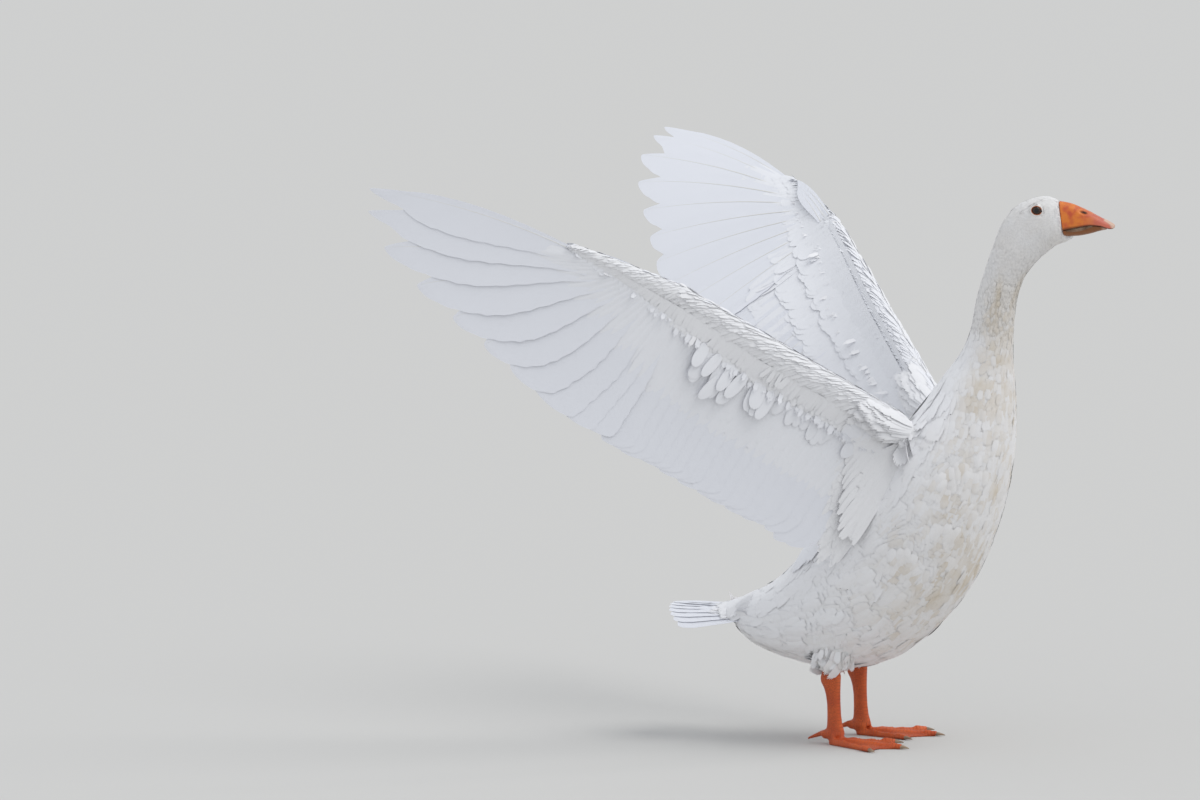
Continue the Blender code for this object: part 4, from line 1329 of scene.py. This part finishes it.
def tail_place(side, f):
    """On the tail's fan: side runs from -1 to 1 across it, f from root (0) to tip (1)."""
    a = math.radians(TAIL_SPREAD) * side
    root = Vector((TAIL_ROOT[0], TAIL_ROOT_HALF * side, TAIL_ROOT[1] - TAIL_ROOF * 0.3 * side * side))
    reach = TAIL_LENGTH * (1 - TAIL_ROUND * side * side)
    tip = root + Vector((-math.cos(a) * reach, math.sin(a) * reach,
                         TAIL_RISE - (TAIL_ROOF + TAIL_DROOP) * side * side))
    return mix(root, tip, f)


def tail_across(side):
    """Unit vector across the fan, away from its middle."""
    return (tail_place(side + 0.05, 0.6) - tail_place(side - 0.05, 0.6)).normalized()


def make_tail():
    quills = Quills("tail_quills")
    for n in range(TAIL_FEATHERS):
        side = 2 * (n + 0.5) / TAIL_FEATHERS - 1
        inward = tail_across(side) * (-1 if side > 0 else 1)
        stack = Vector((0, 0, 2.4 * (1 - abs(side)) - 1.2))
        quills.add(tail_place(side, -0.12) + stack, tail_place(side, 1.0) + stack, Vector((0, 0, 1)),
                   [inward] * 2, 11.0, 24.0, 1.5, 0.5, (0.024, 0.33 + 0.25 * side), None, 0.35, 0.03)
    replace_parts(quills.build(), "tail")


for _side in WINGS:
    make_flight_feathers(_side)
make_tail()


# ---------------------------------------------------------------- coverts, scapulars, axillars

def covert_row(coat, wing, face, f, first, last, gap, length, width, clear, ragged, dip, stray=0.0):
    """A row of feathers rooted at part f of the flesh's depth.

    Their tips stand clear by that many mm over the flesh or quills below them.
    """
    arm = (wing.wrist - wing.shoulder).length
    s = first
    while s < last:
        root = wing.surface(s, f, face)
        long = length(s) * CHANCE.uniform(1 - ragged, 1 + ragged)
        normal = wing.sheet_up(s, wing.flesh(s)[0] * f + 0.6 * long) * face
        under_tip = min(f + long / wing.flesh(s)[0], 1.0)
        below = (wing.surface(s, under_tip, face) - wing.edge(s)).dot(normal) if under_tip < 1 else 2.5 * face
        stand = clear * mix(1.0, 0.35, smoothstep((s - 0.9) / 0.2)) * CHANCE.uniform(0.9, 1.1)
        start = (root - wing.edge(s)).dot(normal) - 1.0
        along = wing.lie(s) + wing.span(s) * CHANCE.uniform(-stray, stray)
        coat.add(root - normal, along, normal, long, width(s) * CHANCE.uniform(0.92, 1.08),
                 (below + stand - start) / long - dip, -dip, 0.10, 0.0, wing_uv(wing.side, s, f, face))
        s += gap * CHANCE.uniform(0.85, 1.15) / arm


# part of the flesh's depth, gap, length on arm and hand, width on arm and hand, clear, ragged, dip
OVER_ROWS = ((0.95, 7.0, 108, 82, 30, 19, 1.3, 0.04, 0.0), (0.80, 7.0, 76, 56, 28, 17, 2.1, 0.05, 0.03),
             (0.64, 6.5, 50, 34, 23, 13, 2.4, 0.06, 0.06), (0.46, 6.0, 36, 24, 18, 10, 1.5, 0.10, 0.06),
             (0.30, 5.0, 28, 18, 15, 8, 1.4, 0.10, 0.06))
OVER_ENDS = ((0.03, 0.02), (0.03, 0.03), (0.02, 0.03), (0.02, 0.02), (0.02, 0.02))
UNDER_ROWS = ((0.97, 6.0, 104, 84, 32, 20, 0.6, 0.03, 0.0), (0.92, 6.5, 56, 42, 25, 15, 1.4, 0.05, 0.02))
UNDER_ENDS = ((0.05, 0.02), (0.06, 0.03))
# part of the flesh's depth, first and last place, gap, length, width, clear
HANGING_ROWS = ((0.98, 0.52, 0.86, 17.0, 52.0, 18.0, 9.0), (0.90, 0.50, 0.84, 22.0, 44.0, 16.0, 12.0),
                (0.94, 0.20, 0.52, 11.0, 34.0, 13.0, 5.0), (0.60, 0.0, 0.15, 8.0, 38.0, 18.0, 4.0),
                (0.80, 0.0, 0.13, 8.0, 34.0, 16.0, 6.0))
LIP_ROWS = ((0.62, 25, 5.0), (0.74, 23, 5.0), (0.84, 20, 4.0))        # part of depth, length, clear


def tapered(arm_value, hand_value):
    """A value along the wing that goes over from the arm's to the hand's at the wrist."""
    return lambda s: mix(arm_value, hand_value, smoothstep((s - 0.85) / 0.4))


def make_coverts(side):
    wing = WING[side]
    end = 1 + KNUCKLE
    for name, face, rows, ends in (("over", 1, OVER_ROWS, OVER_ENDS), ("under", -1, UNDER_ROWS, UNDER_ENDS)):
        coat = Coat(f"wing_{side}_coverts_{name}", "cover", "covert")
        for (f, gap, long, short, wide, narrow, clear, ragged, dip), (first, before) in zip(rows, ends):
            covert_row(coat, wing, face, f, first, end - before, gap, tapered(long, short),
                       tapered(wide, narrow), clear, ragged, dip)
        coat.build()
    hanging = Coat(f"wing_{side}_coverts_hanging", "cover", "covert")
    for f, first, last, gap, length, width, clear in HANGING_ROWS:
        covert_row(hanging, wing, -1, f, first, last, gap, lambda s: length,
                   lambda s: width * CHANCE.uniform(0.85, 1.15), clear, 0.25, -0.06, 0.3)
    hanging.build()
    lip = Coat(f"wing_{side}_lip_under", "silk", "down")
    for f, length, clear in LIP_ROWS:
        covert_row(lip, wing, -1, f, 0.0, end - 0.02, 2.2, tapered(length, 15), tapered(6, 4), clear,
                   0.15, -0.04, 0.2)
    lip.build()


AXILLARS, AXILLAR_LONG, AXILLAR_SHORT, AXILLAR_WIDE = 72, 158.0, 40.0, 12.0
SCAPULARS = 150


def make_axillars(side):
    """Long feathers, lapped like a fan, that close the gap between the inner wing and the flank."""
    wing = WING[side]
    coat = Coat(f"wing_{side}_axillars", "cover", "down")
    for layer, (f, reach) in enumerate(((0.92, 1.0), (0.66, 0.84))):
        for n in range(AXILLARS):
            s = mix(-0.10, 0.17, (n + 0.5) / AXILLARS)
            root = wing.surface_past(s, f, -1)
            along = mix(wing.fold, wing.chord(max(s, 0)), smoothstep((s + 0.04) / 0.20)).normalized()
            normal = wing.span_arm * 0.10 - wing.up(max(s, 0))
            length = reach * mix(AXILLAR_LONG, AXILLAR_SHORT, smoothstep(n / AXILLARS))
            length *= CHANCE.uniform(0.92, 1.04)
            drop = 8.5 * layer * min(1.0, 1.6 * n / AXILLARS)
            coat.add(root + wing.up(max(s, 0)) * (2 - 2 * layer), along, normal, length, AXILLAR_WIDE,
                     CHANCE.uniform(-0.003, 0.003) - drop / length, 0.0, 0.06, 0.03,
                     wing_uv(side, max(s, 0), f, -1))
    coat.build()


def make_flank_lap(side, tree):
    """Soft feathers of the flank that lap over the fold between the body and the inner wing."""
    wing = WING[side]
    coat = Coat(f"flank_lap_{side}", "soft", "down")
    start = wing.surface(0, 0.9, -1) - wing.span_arm * 12
    fold = wing.fold.normalized()
    count = 26
    for row, (ahead, length) in enumerate(((2, 26), (9, 32), (17, 36))):
        for n in range(count):
            down = mix(4, 118, (n + CHANCE.uniform(0.1, 0.9)) / count)
            spot, normal, _, _ = tree.find_nearest(start + fold * down + wing.up(0) * -ahead)
            _, flow, uv = LIE.at(spot)
            across = (wing.span_arm - normal * normal.dot(wing.span_arm)).normalized()
            coat.add(spot, flow + across * CHANCE.uniform(0.25, 0.55), normal,
                     length * CHANCE.uniform(0.85, 1.15), CHANCE.uniform(11, 15),
                     0.12 - 0.02 * row, 0.06, 0.15, 0.02, uv)
    coat.build()


def make_shoulder_ruff(side):
    """Loose feathers that lap from the shoulder over the root of the wing."""
    wing = WING[side]
    coat = Coat(f"shoulder_ruff_{side}", "soft", "down")
    for s, length, count in ((-0.03, 42, 20), (0.02, 40, 20), (0.07, 36, 18), (0.12, 30, 16)):
        for face in (1, -1):
            for n in range(count):
                f = mix(0.10, 1.0, (n + CHANCE.uniform(0.2, 0.8)) / count)
                root = wing.surface_past(s, f, face)
                out = (root - wing.sheet(max(s, 0), 0.5 * FLESH_DEPTH[0])).normalized()
                out = (out - wing.span_arm * out.dot(wing.span_arm)).normalized()
                along = wing.span_arm + wing.chord(0) * mix(0.25, 0.75, f) - out * 0.05
                coat.add(root - out * 3.0, along, out, length * CHANCE.uniform(0.8, 1.2),
                         CHANCE.uniform(11, 16), 0.10, 0.10, 0.25, 0.0, wing_uv(side, max(s, 0), f, face))
    coat.build()


def make_scapulars(side):
    """Long shoulder feathers, which lie back along the body below the wing's root."""
    coat = Coat(f"scapulars_{side}", "soft", "covert")
    for _ in range(SCAPULARS):
        t = mix(7.4, 3.8, CHANCE.random())
        angle = SIGN[side] * mix(0.15, 0.85, CHANCE.random())
        root = body_point(t, body_angle(angle))
        _, flow, uv = LIE.at(root)
        ahead = body_point(t + 0.1, body_angle(angle)) - body_point(t - 0.1, body_angle(angle))
        across = body_point(t, body_angle(angle + 0.05)) - body_point(t, body_angle(angle - 0.05))
        normal = across.cross(ahead).normalized()
        if normal.dot(Vector((0, SIGN[side], 0.4))) < 0:
            normal = -normal
        coat.add(root - normal * 5.5, flow + Vector((0, 0, -0.10)), normal, CHANCE.uniform(40, 60),
                 CHANCE.uniform(16, 22), 0.06, 0.06, 0.20, 0.0, uv)
    coat.build()


def make_tail_coverts():
    """Feathers that lead the rump over into the tail, above and below."""
    coat = Coat("tail_coverts", "soft", "down")
    above = ((0.0, 0.66), (0.25, 0.60), (0.6, 0.53), (1.0, 0.46), (1.4, 0.38))
    below = ((0.0, 0.60), (0.2, 0.52), (0.4, 0.44))
    count, half_width = 22, 24
    for face, rows in ((1, above), (-1, below)):
        top = 0 if face > 0 else math.pi
        for row, (t, reach) in enumerate(rows):
            middle = (body_point(t, 0) + body_point(t, math.pi)) / 2
            for n in range(count):
                angle = 1.5 * mix(-1, 1, (n + CHANCE.uniform(0.2, 0.8)) / count) + top
                edge = body_point(t, body_angle(angle))
                root = edge + (middle - edge).normalized() * 7.0
                tip = tail_place(max(-1.0, min(1.0, root.y / half_width)), reach)
                along = tip + Vector((0, 0, face * (1.5 + 0.7 * row))) - root
                normal = along.cross(tail_across(root.y / half_width)).normalized()
                normal *= face if normal.z > 0 else -face
                coat.add(root, along, normal, along.length * CHANCE.uniform(0.95, 1.08),
                         CHANCE.uniform(10, 14), 0.10, 0.10, 0.15, 0.08 if face < 0 else 0.0, LIE.at(edge)[2])
    coat.build()


def make_cuff(side):
    """Rings of short feathers where the thigh ends on the leg."""
    coat = Coat(f"thigh_cuff_{side}", "soft", "down")
    for t, length, count in ((1.75, 16, 34), (1.9, 15, 36), (2.05, 13, 36), (2.2, 11, 34), (2.32, 9, 30)):
        x, z, along, across = spline(THIGH, t)
        y = thigh_middle(side, t)
        for k in range(count):
            angle = 2 * math.pi * (k + CHANCE.uniform(0.2, 0.8)) / count
            out = Vector((math.cos(angle), math.sin(angle), 0))
            root = Vector((x + (along - 4.5) * out.x, y + (across - 4.5) * out.y, z))
            # 0.35 of the beige mix darkens the cuffs: painted shade from the belly above them.
            coat.add(root, Vector((-0.10, 0, -1)) - out * mix(0.25, 0.60, (t - 1.75) / 0.57), out,
                     length * CHANCE.uniform(0.85, 1.15), CHANCE.uniform(4.5, 6.5), 0.04, 0.08, 0.2, 0.35,
                     LIE.at(root)[2])
    coat.build()


_skin_tree = skin_tree(skin)
for _side in WINGS:
    make_flank_lap(_side, _skin_tree)
    make_cuff(_side)
    make_coverts(_side)
    make_axillars(_side)
    make_shoulder_ruff(_side)
    make_scapulars(_side)
make_tail_coverts()


# ---------------------------------------------------------------- bill, eyes, legs

def add_piece(name, bm, material, marks=None):
    """A finished piece from a bmesh in millimetres; marks are values for each vertex by name."""
    bmesh.ops.recalc_face_normals(bm, faces=bm.faces)
    marks = {label: [value(v.co) for v in bm.verts] for label, value in (marks or {}).items()}
    for v in bm.verts:
        v.co = place(v.co)
    mesh = mesh_from(bm, name)
    mesh.shade_smooth()
    for label, values in marks.items():
        mark(mesh, label, values)
    return finished(name, mesh, material)


def bridge_rings(bm, rings):
    """Skin over closed rings of points, with a cap at each end."""
    loops = []
    for ring in rings:
        verts = [bm.verts.new(p) for p in ring]
        loops.append([bm.edges.new((a, b)) for a, b in zip(verts, verts[1:] + verts[:1])])
    for low, high in zip(loops, loops[1:]):
        bmesh.ops.bridge_loops(bm, edges=low + high)
    for loop in (loops[0], loops[-1]):
        cap = bmesh.ops.contextual_create(bm, geom=loop)
        bmesh.ops.poke(bm, faces=cap["faces"])


DOME_POINTS, FLAT_POINTS = 40, 8


def bill_ring(rows, t, upright):
    tx, tz, bx, bz, half = spline(rows, t)
    top, bottom = Vector((tx, 0, tz)), Vector((bx, 0, bz))
    flat, crown = (bottom, top) if upright else (top, bottom)
    ring = []
    for k in range(DOME_POINTS + 1):
        c, s = power_circle(math.pi * k / DOME_POINTS, 2.3)
        ring.append(flat + (crown - flat) * s + Vector((0, half * c, 0)))
    for k in range(1, FLAT_POINTS):
        ring.append(flat + Vector((0, -half * (1 - 2 * k / FLAT_POINTS), 0)))
    return ring


NOSTRIL = Vector((252.0, 0, 645.2))
NOSTRIL_LONG, NOSTRIL_HIGH, NOSTRIL_DEEP = 5.2, 1.9, 2.6
NOSTRIL_TILT = math.radians(-14)
NAIL_START_X, MOUTH_SHADE_WIDTH = 275.0, 1.3


def nostril_ring(co):
    """0 at a nostril's middle, 1 on its rim."""
    x, z = co.x - NOSTRIL.x, co.z - NOSTRIL.z
    along = x * math.cos(NOSTRIL_TILT) + z * math.sin(NOSTRIL_TILT)
    high = -x * math.sin(NOSTRIL_TILT) + z * math.cos(NOSTRIL_TILT)
    return math.hypot(along / NOSTRIL_LONG, high / NOSTRIL_HIGH)


def edge_height(x):
    """Height of the upper bill's cutting edge at a place along the bill."""
    for low, high in zip(BILL_UPPER, BILL_UPPER[1:]):
        if x <= high[2]:
            return mix(low[3], high[3], max((x - low[2]) / (high[2] - low[2]), 0))
    return BILL_UPPER[-1][3]


def shaped_horn(co, out):
    """The upper bill's surface with its nostrils, its nail and the lip along the mouth."""
    ring = nostril_ring(co)
    if abs(co.y) > 3:
        if ring < 1.15:
            co -= out * NOSTRIL_DEEP * (1 - smoothstep(ring / 1.15))
        elif ring < 2.2:
            co += out * 0.30 * math.sin(math.pi * (ring - 1.15) / 1.05)
    nail = smoothstep((co.x - NAIL_START_X) / 2.0) * smoothstep((7.0 - abs(co.y)) / 1.5)
    if out.z > -0.2:
        co += out * 0.55 * nail
    lip = math.exp(-((co.z - edge_height(co.x) - 1.2) / 1.1) ** 2)
    return co + Vector((0, math.copysign(0.35 * lip, co.y) if abs(co.y) > 2 else 0, 0))


def tipward(co):
    return smoothstep((co.x - 246) / 30) * 0.85


def upper_painted_shade(co):
    """Painted shade in the nostrils and along the upper bill's cutting edge, over the gap between the halves.
    """
    hole = 1 - smoothstep((nostril_ring(co) - 0.55) / 0.5) if abs(co.y) > 3 else 0
    edge = 1 - smoothstep((co.z - edge_height(co.x) - 0.1) / MOUTH_SHADE_WIDTH)
    return max(hole, 0.85 * edge * smoothstep((co.x - 226) / 4))


UPPER_MARKS = {
    "tipward": tipward, "painted_shade": upper_painted_shade, "lower": lambda co: 0.0,
    "nail": lambda co: smoothstep((co.x - NAIL_START_X) / 2.2) * smoothstep((7.4 - abs(co.y)) / 1.6),
}
LOWER_MARKS = {
    # The lower bill's painted shade darkens its top where it tucks under the upper bill's edge.
    "tipward": tipward, "painted_shade": lambda co: 0.75 * smoothstep((co.z - edge_height(co.x) + 1.6) / 2.0),
    "lower": lambda co: smoothstep((co.x - 218) / 14), "nail": lambda co: 0.6 * smoothstep((co.x - 272) / 4),
}


def make_bill():
    for name, rows, marks in (("upper", BILL_UPPER, UPPER_MARKS), ("lower", BILL_LOWER, LOWER_MARKS)):
        upright = name == "upper"
        bm = bmesh.new()
        rings = [bill_ring(rows, t, upright) for t in steps(0, len(rows) - 1, 60)]
        # The tip closes in a rounded end
        end = rings[-1]
        middle = sum(end, Vector()) / len(end)
        reach = Vector((1.6 if upright else 1.2, 0, -0.3))
        for f in (0.35, 0.6, 0.8, 0.93):
            shrink = math.sqrt(1 - f * f)
            rings.append([middle + (p - middle) * shrink + reach * f for p in end])
        bridge_rings(bm, rings)
        bm.normal_update()
        if upright:
            for v in bm.verts:
                v.co = shaped_horn(v.co.copy(), v.normal)
        made = add_piece("bill_horn_" + name, bm, "bill", marks)
        turn_with_head(made)
        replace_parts(made, "bill_" + name)


def turn_with_head(made):
    """Pieces of the head are shaped looking straight ahead, then swung with it."""
    pivot = place((YAW_PIVOT_X, 0, 0))
    turn = Matrix.Rotation(math.radians(HEAD_YAW), 4, "Z")
    made.data.transform(Matrix.Translation(pivot) @ turn @ Matrix.Translation(-pivot))


COMB_TEETH, COMB_START_X, COMB_END_X = 26, 231.0, 263.0


def make_comb():
    """The horny comb that shows along the side of the bill, and a dark tube between its halves that paints the
    shade in the mouth's gap.
    """
    bm = bmesh.new()
    for side in (1, -1):
        for k in range(COMB_TEETH):
            f = (k + 0.5) / COMB_TEETH
            x = mix(COMB_START_X, COMB_END_X, f)
            half = mix(13.6, 10.6, f) + 0.25
            high = edge_height(x) + 0.4
            long = 5.2 * math.sin(math.pi * (0.12 + 0.80 * f)) ** 0.7
            tooth = bmesh.ops.create_cone(bm, cap_ends=True, segments=8, radius1=0.30, radius2=0.52,
                                          depth=long)
            bmesh.ops.rotate(bm, verts=tooth["verts"], cent=(0, 0, 0),
                             matrix=Matrix.Rotation(side * math.radians(10), 3, "X"))
            bmesh.ops.translate(bm, verts=tooth["verts"], vec=(x, side * half, high - long / 2))
    turn_with_head(add_piece("bill_comb", bm, "comb"))
    # A dark tube in the gap between the bill's halves, as painted shade.
    bm = bmesh.new()
    rings = []
    for f in steps(0, 1, 16):
        x, half = mix(228.5, 276.0, f), mix(13.2, 6.5, f)
        middle = Vector((x, 0, edge_height(x) - 0.2))
        rings.append([middle + Vector((0, half * c, 1.6 * s))
                      for c, s in (power_circle(2 * math.pi * k / 20, 2.0) for k in range(20))])
    bridge_rings(bm, rings)
    turn_with_head(add_piece("bill_mouth_gap_shade", bm, "mouth"))


RIM_RING = 10.0            # radius of the ring that is then drawn to the shape of the eye's opening


def make_eyes():
    for side in WINGS:
        centre, out, ahead, above = eye_frame(side)
        bm = bmesh.new()
        bmesh.ops.create_uvsphere(bm, u_segments=48, v_segments=32, radius=EYE_RADIUS)
        axes = Matrix((ahead, above, out)).transposed()
        for v in bm.verts:
            flat = math.hypot(v.co.x, v.co.y) / EYE_RADIUS
            if v.co.z > 0:
                v.co *= 1 + 0.06 * (1 - smoothstep(flat / 0.75))
            v.co = centre + axes @ v.co

        def radial(co):
            rel = co - centre
            return math.hypot(rel.dot(ahead), rel.dot(above)) / EYE_RADIUS if rel.dot(out) > 0 else 1.0
        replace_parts(add_piece("eyeball_" + side, bm, "eye", {"radial": radial}), "eye_" + side)
        bm = bmesh.new()
        section = bmesh.ops.create_circle(bm, segments=10, radius=1.0)
        bmesh.ops.rotate(bm, verts=section["verts"], cent=(0, 0, 0),
                         matrix=Matrix.Rotation(math.pi / 2, 3, "X"))
        bmesh.ops.translate(bm, verts=section["verts"], vec=(RIM_RING, 0, 0))
        bmesh.ops.spin(bm, geom=bm.verts[:] + bm.edges[:], cent=(0, 0, 0), axis=(0, 0, 1), dvec=(0, 0, 0),
                       angle=2 * math.pi, steps=56, use_merge=True, use_duplicate=False)
        bmesh.ops.remove_doubles(bm, verts=bm.verts, dist=1e-4)
        for v in bm.verts:
            round_here = math.atan2(v.co.y, v.co.x)
            off = math.hypot(v.co.x, v.co.y) - RIM_RING
            c, s = math.cos(round_here), math.sin(round_here)
            corner = 1.3 * math.exp(-(round_here / 0.30) ** 2)
            x = (LID_LENGTH + 0.1 + off * 0.5 + corner) * c
            y = (LID_HEIGHT + 0.1 + off * 0.5) * s
            high = math.sqrt(max((EYE_RADIUS + 0.55) ** 2 - x * x - y * y, 4)) + v.co.z * 0.55
            v.co = centre + ahead * x + above * y + out * high
        add_piece("eye_rim_" + side, bm, "rim")


TOE_JOINTS = ((0.42, 5.0, 0.9), (0.68, 4.5, 0.8), (0.90, 4.0, 0.7))   # place, length, swelling
LEG_VOXEL = 0.0015
ANKLE, SOLE = 16.0, 0.02               # mm over the floor: cross plates start, and lowest skin


def toe_place(co, sign):
    """Along the nearest toe and off its line, both in mm, and that toe's length."""
    heel = Vector((FOOT_HEEL_X, sign * LEG_OUT, 0))
    best = None
    for angle, length in TOES:
        a = math.radians(sign * (FOOT_TURN + angle))
        ahead = Vector((math.cos(a), math.sin(a), 0))
        rel = co - heel
        along = rel.dot(ahead)
        off = abs(rel.x * -ahead.y + rel.y * ahead.x)
        if best is None or off < best[1]:
            best = (along, off, length)
    return best


def make_legs():
    for side, sign in SIGN.items():
        bm = bmesh.new()
        for part_name in ("shank_", "foot_", "hind_toe_"):
            add_flesh(bm, part_name + side)
        # The hock goes up into the feathers, and the shank meets the foot in an ankle
        for spot, radius in (((-45, 102), 11.5), ((-45, 95), 11.5), ((-45.5, 88), 11.0), ((-44.5, 13), 8.5),
                             ((-52, 12), 6.0)):
            add_ball(bm, (spot[0], sign * LEG_OUT, spot[1]), radius)
        for angle, length in TOES:
            a = math.radians(sign * (FOOT_TURN + angle))
            for short, radius in ((12, 3.9), (9, 3.8), (6, 3.7), (3, 3.6), (0.5, 3.5)):
                add_ball(bm, (FOOT_HEEL_X + math.cos(a) * (length - short),
                              sign * LEG_OUT + math.sin(a) * (length - short), radius), radius, 2)
        bm = remeshed(bm, LEG_VOXEL, 4)
        bm.normal_update()
        for v in bm.verts:
            v.co = in_bird(v.co)
            along, off, length = toe_place(v.co, sign)
            if v.co.z < 12 and v.normal.z > 0.1 and off < 8:
                for at, long, swell in TOE_JOINTS:
                    bulge = math.exp(-((along - at * length) / long) ** 2 - (off / 5.0) ** 2)
                    v.co += v.normal * swell * bulge
            v.co.z = max(v.co.z, SOLE)

        def along_mark(co):
            return co.z if co.z > ANKLE else 40 + toe_place(co, sign)[0]

        def front_mark(co):
            if co.z > ANKLE:
                return smoothstep((co.x + 41.5) / 4) * (1 - smoothstep((abs(co.y - sign * LEG_OUT) - 4) / 3))
            along, off, _ = toe_place(co, sign)
            on_toe = (1 - smoothstep((off - 3.2) / 2.5)) * smoothstep((along - 14) / 6)
            return on_toe * smoothstep((co.z - 1.5) / 2)
        made = add_piece("leg_" + side, bm, "leg", {"along": along_mark, "front": front_mark})
        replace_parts(made, "shank_" + side, "foot_" + side, "hind_toe_" + side)
        for toe in ("inner", "middle", "outer"):
            claw = nodes[f"claw_{side}_{toe}"]
            claw.data.materials.clear()
            claw.data.materials.append(MATERIALS["claw"])


make_bill()
make_comb()
make_eyes()
make_legs()


# ---------------------------------------------------------------- stage, camera and light

FLOOR_RADIUS = 90.0


def make_stage():
    bm = bmesh.new()
    bmesh.ops.create_circle(bm, cap_ends=True, segments=64, radius=FLOOR_RADIUS)
    floor = in_scene("floor", mesh_from(bm, "floor"))
    floor.data.materials.append(finish("pale_floor", (0.598, 0.592, 0.578), 0.9, Specular_IOR_Level=0.0)[0])


AZIMUTH, ELEVATION = 20.0, 6.5
DISTANCE, LENS, SENSOR = 24.0, 600.0, 36.0
AIM_RIGHT, AIM_UP = -336.0, 409.2      # middle of the view from the bird frame's origin


def make_camera():
    az, el = math.radians(AZIMUTH), math.radians(ELEVATION)
    right = Vector((math.cos(az), math.sin(az), 0))
    view = Vector((-math.sin(az) * math.cos(el), math.cos(az) * math.cos(el), -math.sin(el)))
    up = right.cross(view)
    data = bpy.data.cameras.new("camera")
    data.lens, data.sensor_width = LENS, SENSOR
    data.clip_end = 300
    camera = in_scene("camera", data)
    spot = place(right * AIM_RIGHT + up * AIM_UP) - view * DISTANCE
    camera.matrix_world = Matrix.Translation(spot) @ Matrix((right, up, -view)).transposed().to_4x4()
    bpy.context.scene.camera = camera


SKY_STRENGTH, SUN_STRENGTH = 0.78, 1.15
SUN_FROM, SUN_ANGLE = Vector((0.50, 0.10, 0.86)), math.radians(42)      # wide, so its shadows are soft


def make_light():
    world = bpy.data.worlds.new("overcast")
    bpy.context.scene.world = world
    world.use_nodes = True
    sky = world.node_tree.nodes["Background"]
    sky.inputs["Color"].default_value = (0.93, 0.96, 1.0, 1)
    sky.inputs["Strength"].default_value = SKY_STRENGTH
    data = bpy.data.lights.new("high_soft", "SUN")
    data.energy, data.angle, data.color = SUN_STRENGTH, SUN_ANGLE, (1.0, 0.985, 0.96)
    lamp = in_scene("high_soft", data)
    lamp.rotation_euler = SUN_FROM.to_track_quat("Z", "Y").to_euler()
    bpy.context.scene.view_settings.view_transform = "Standard"


make_stage()
make_camera()
make_light()
bpy.context.view_layer.update()
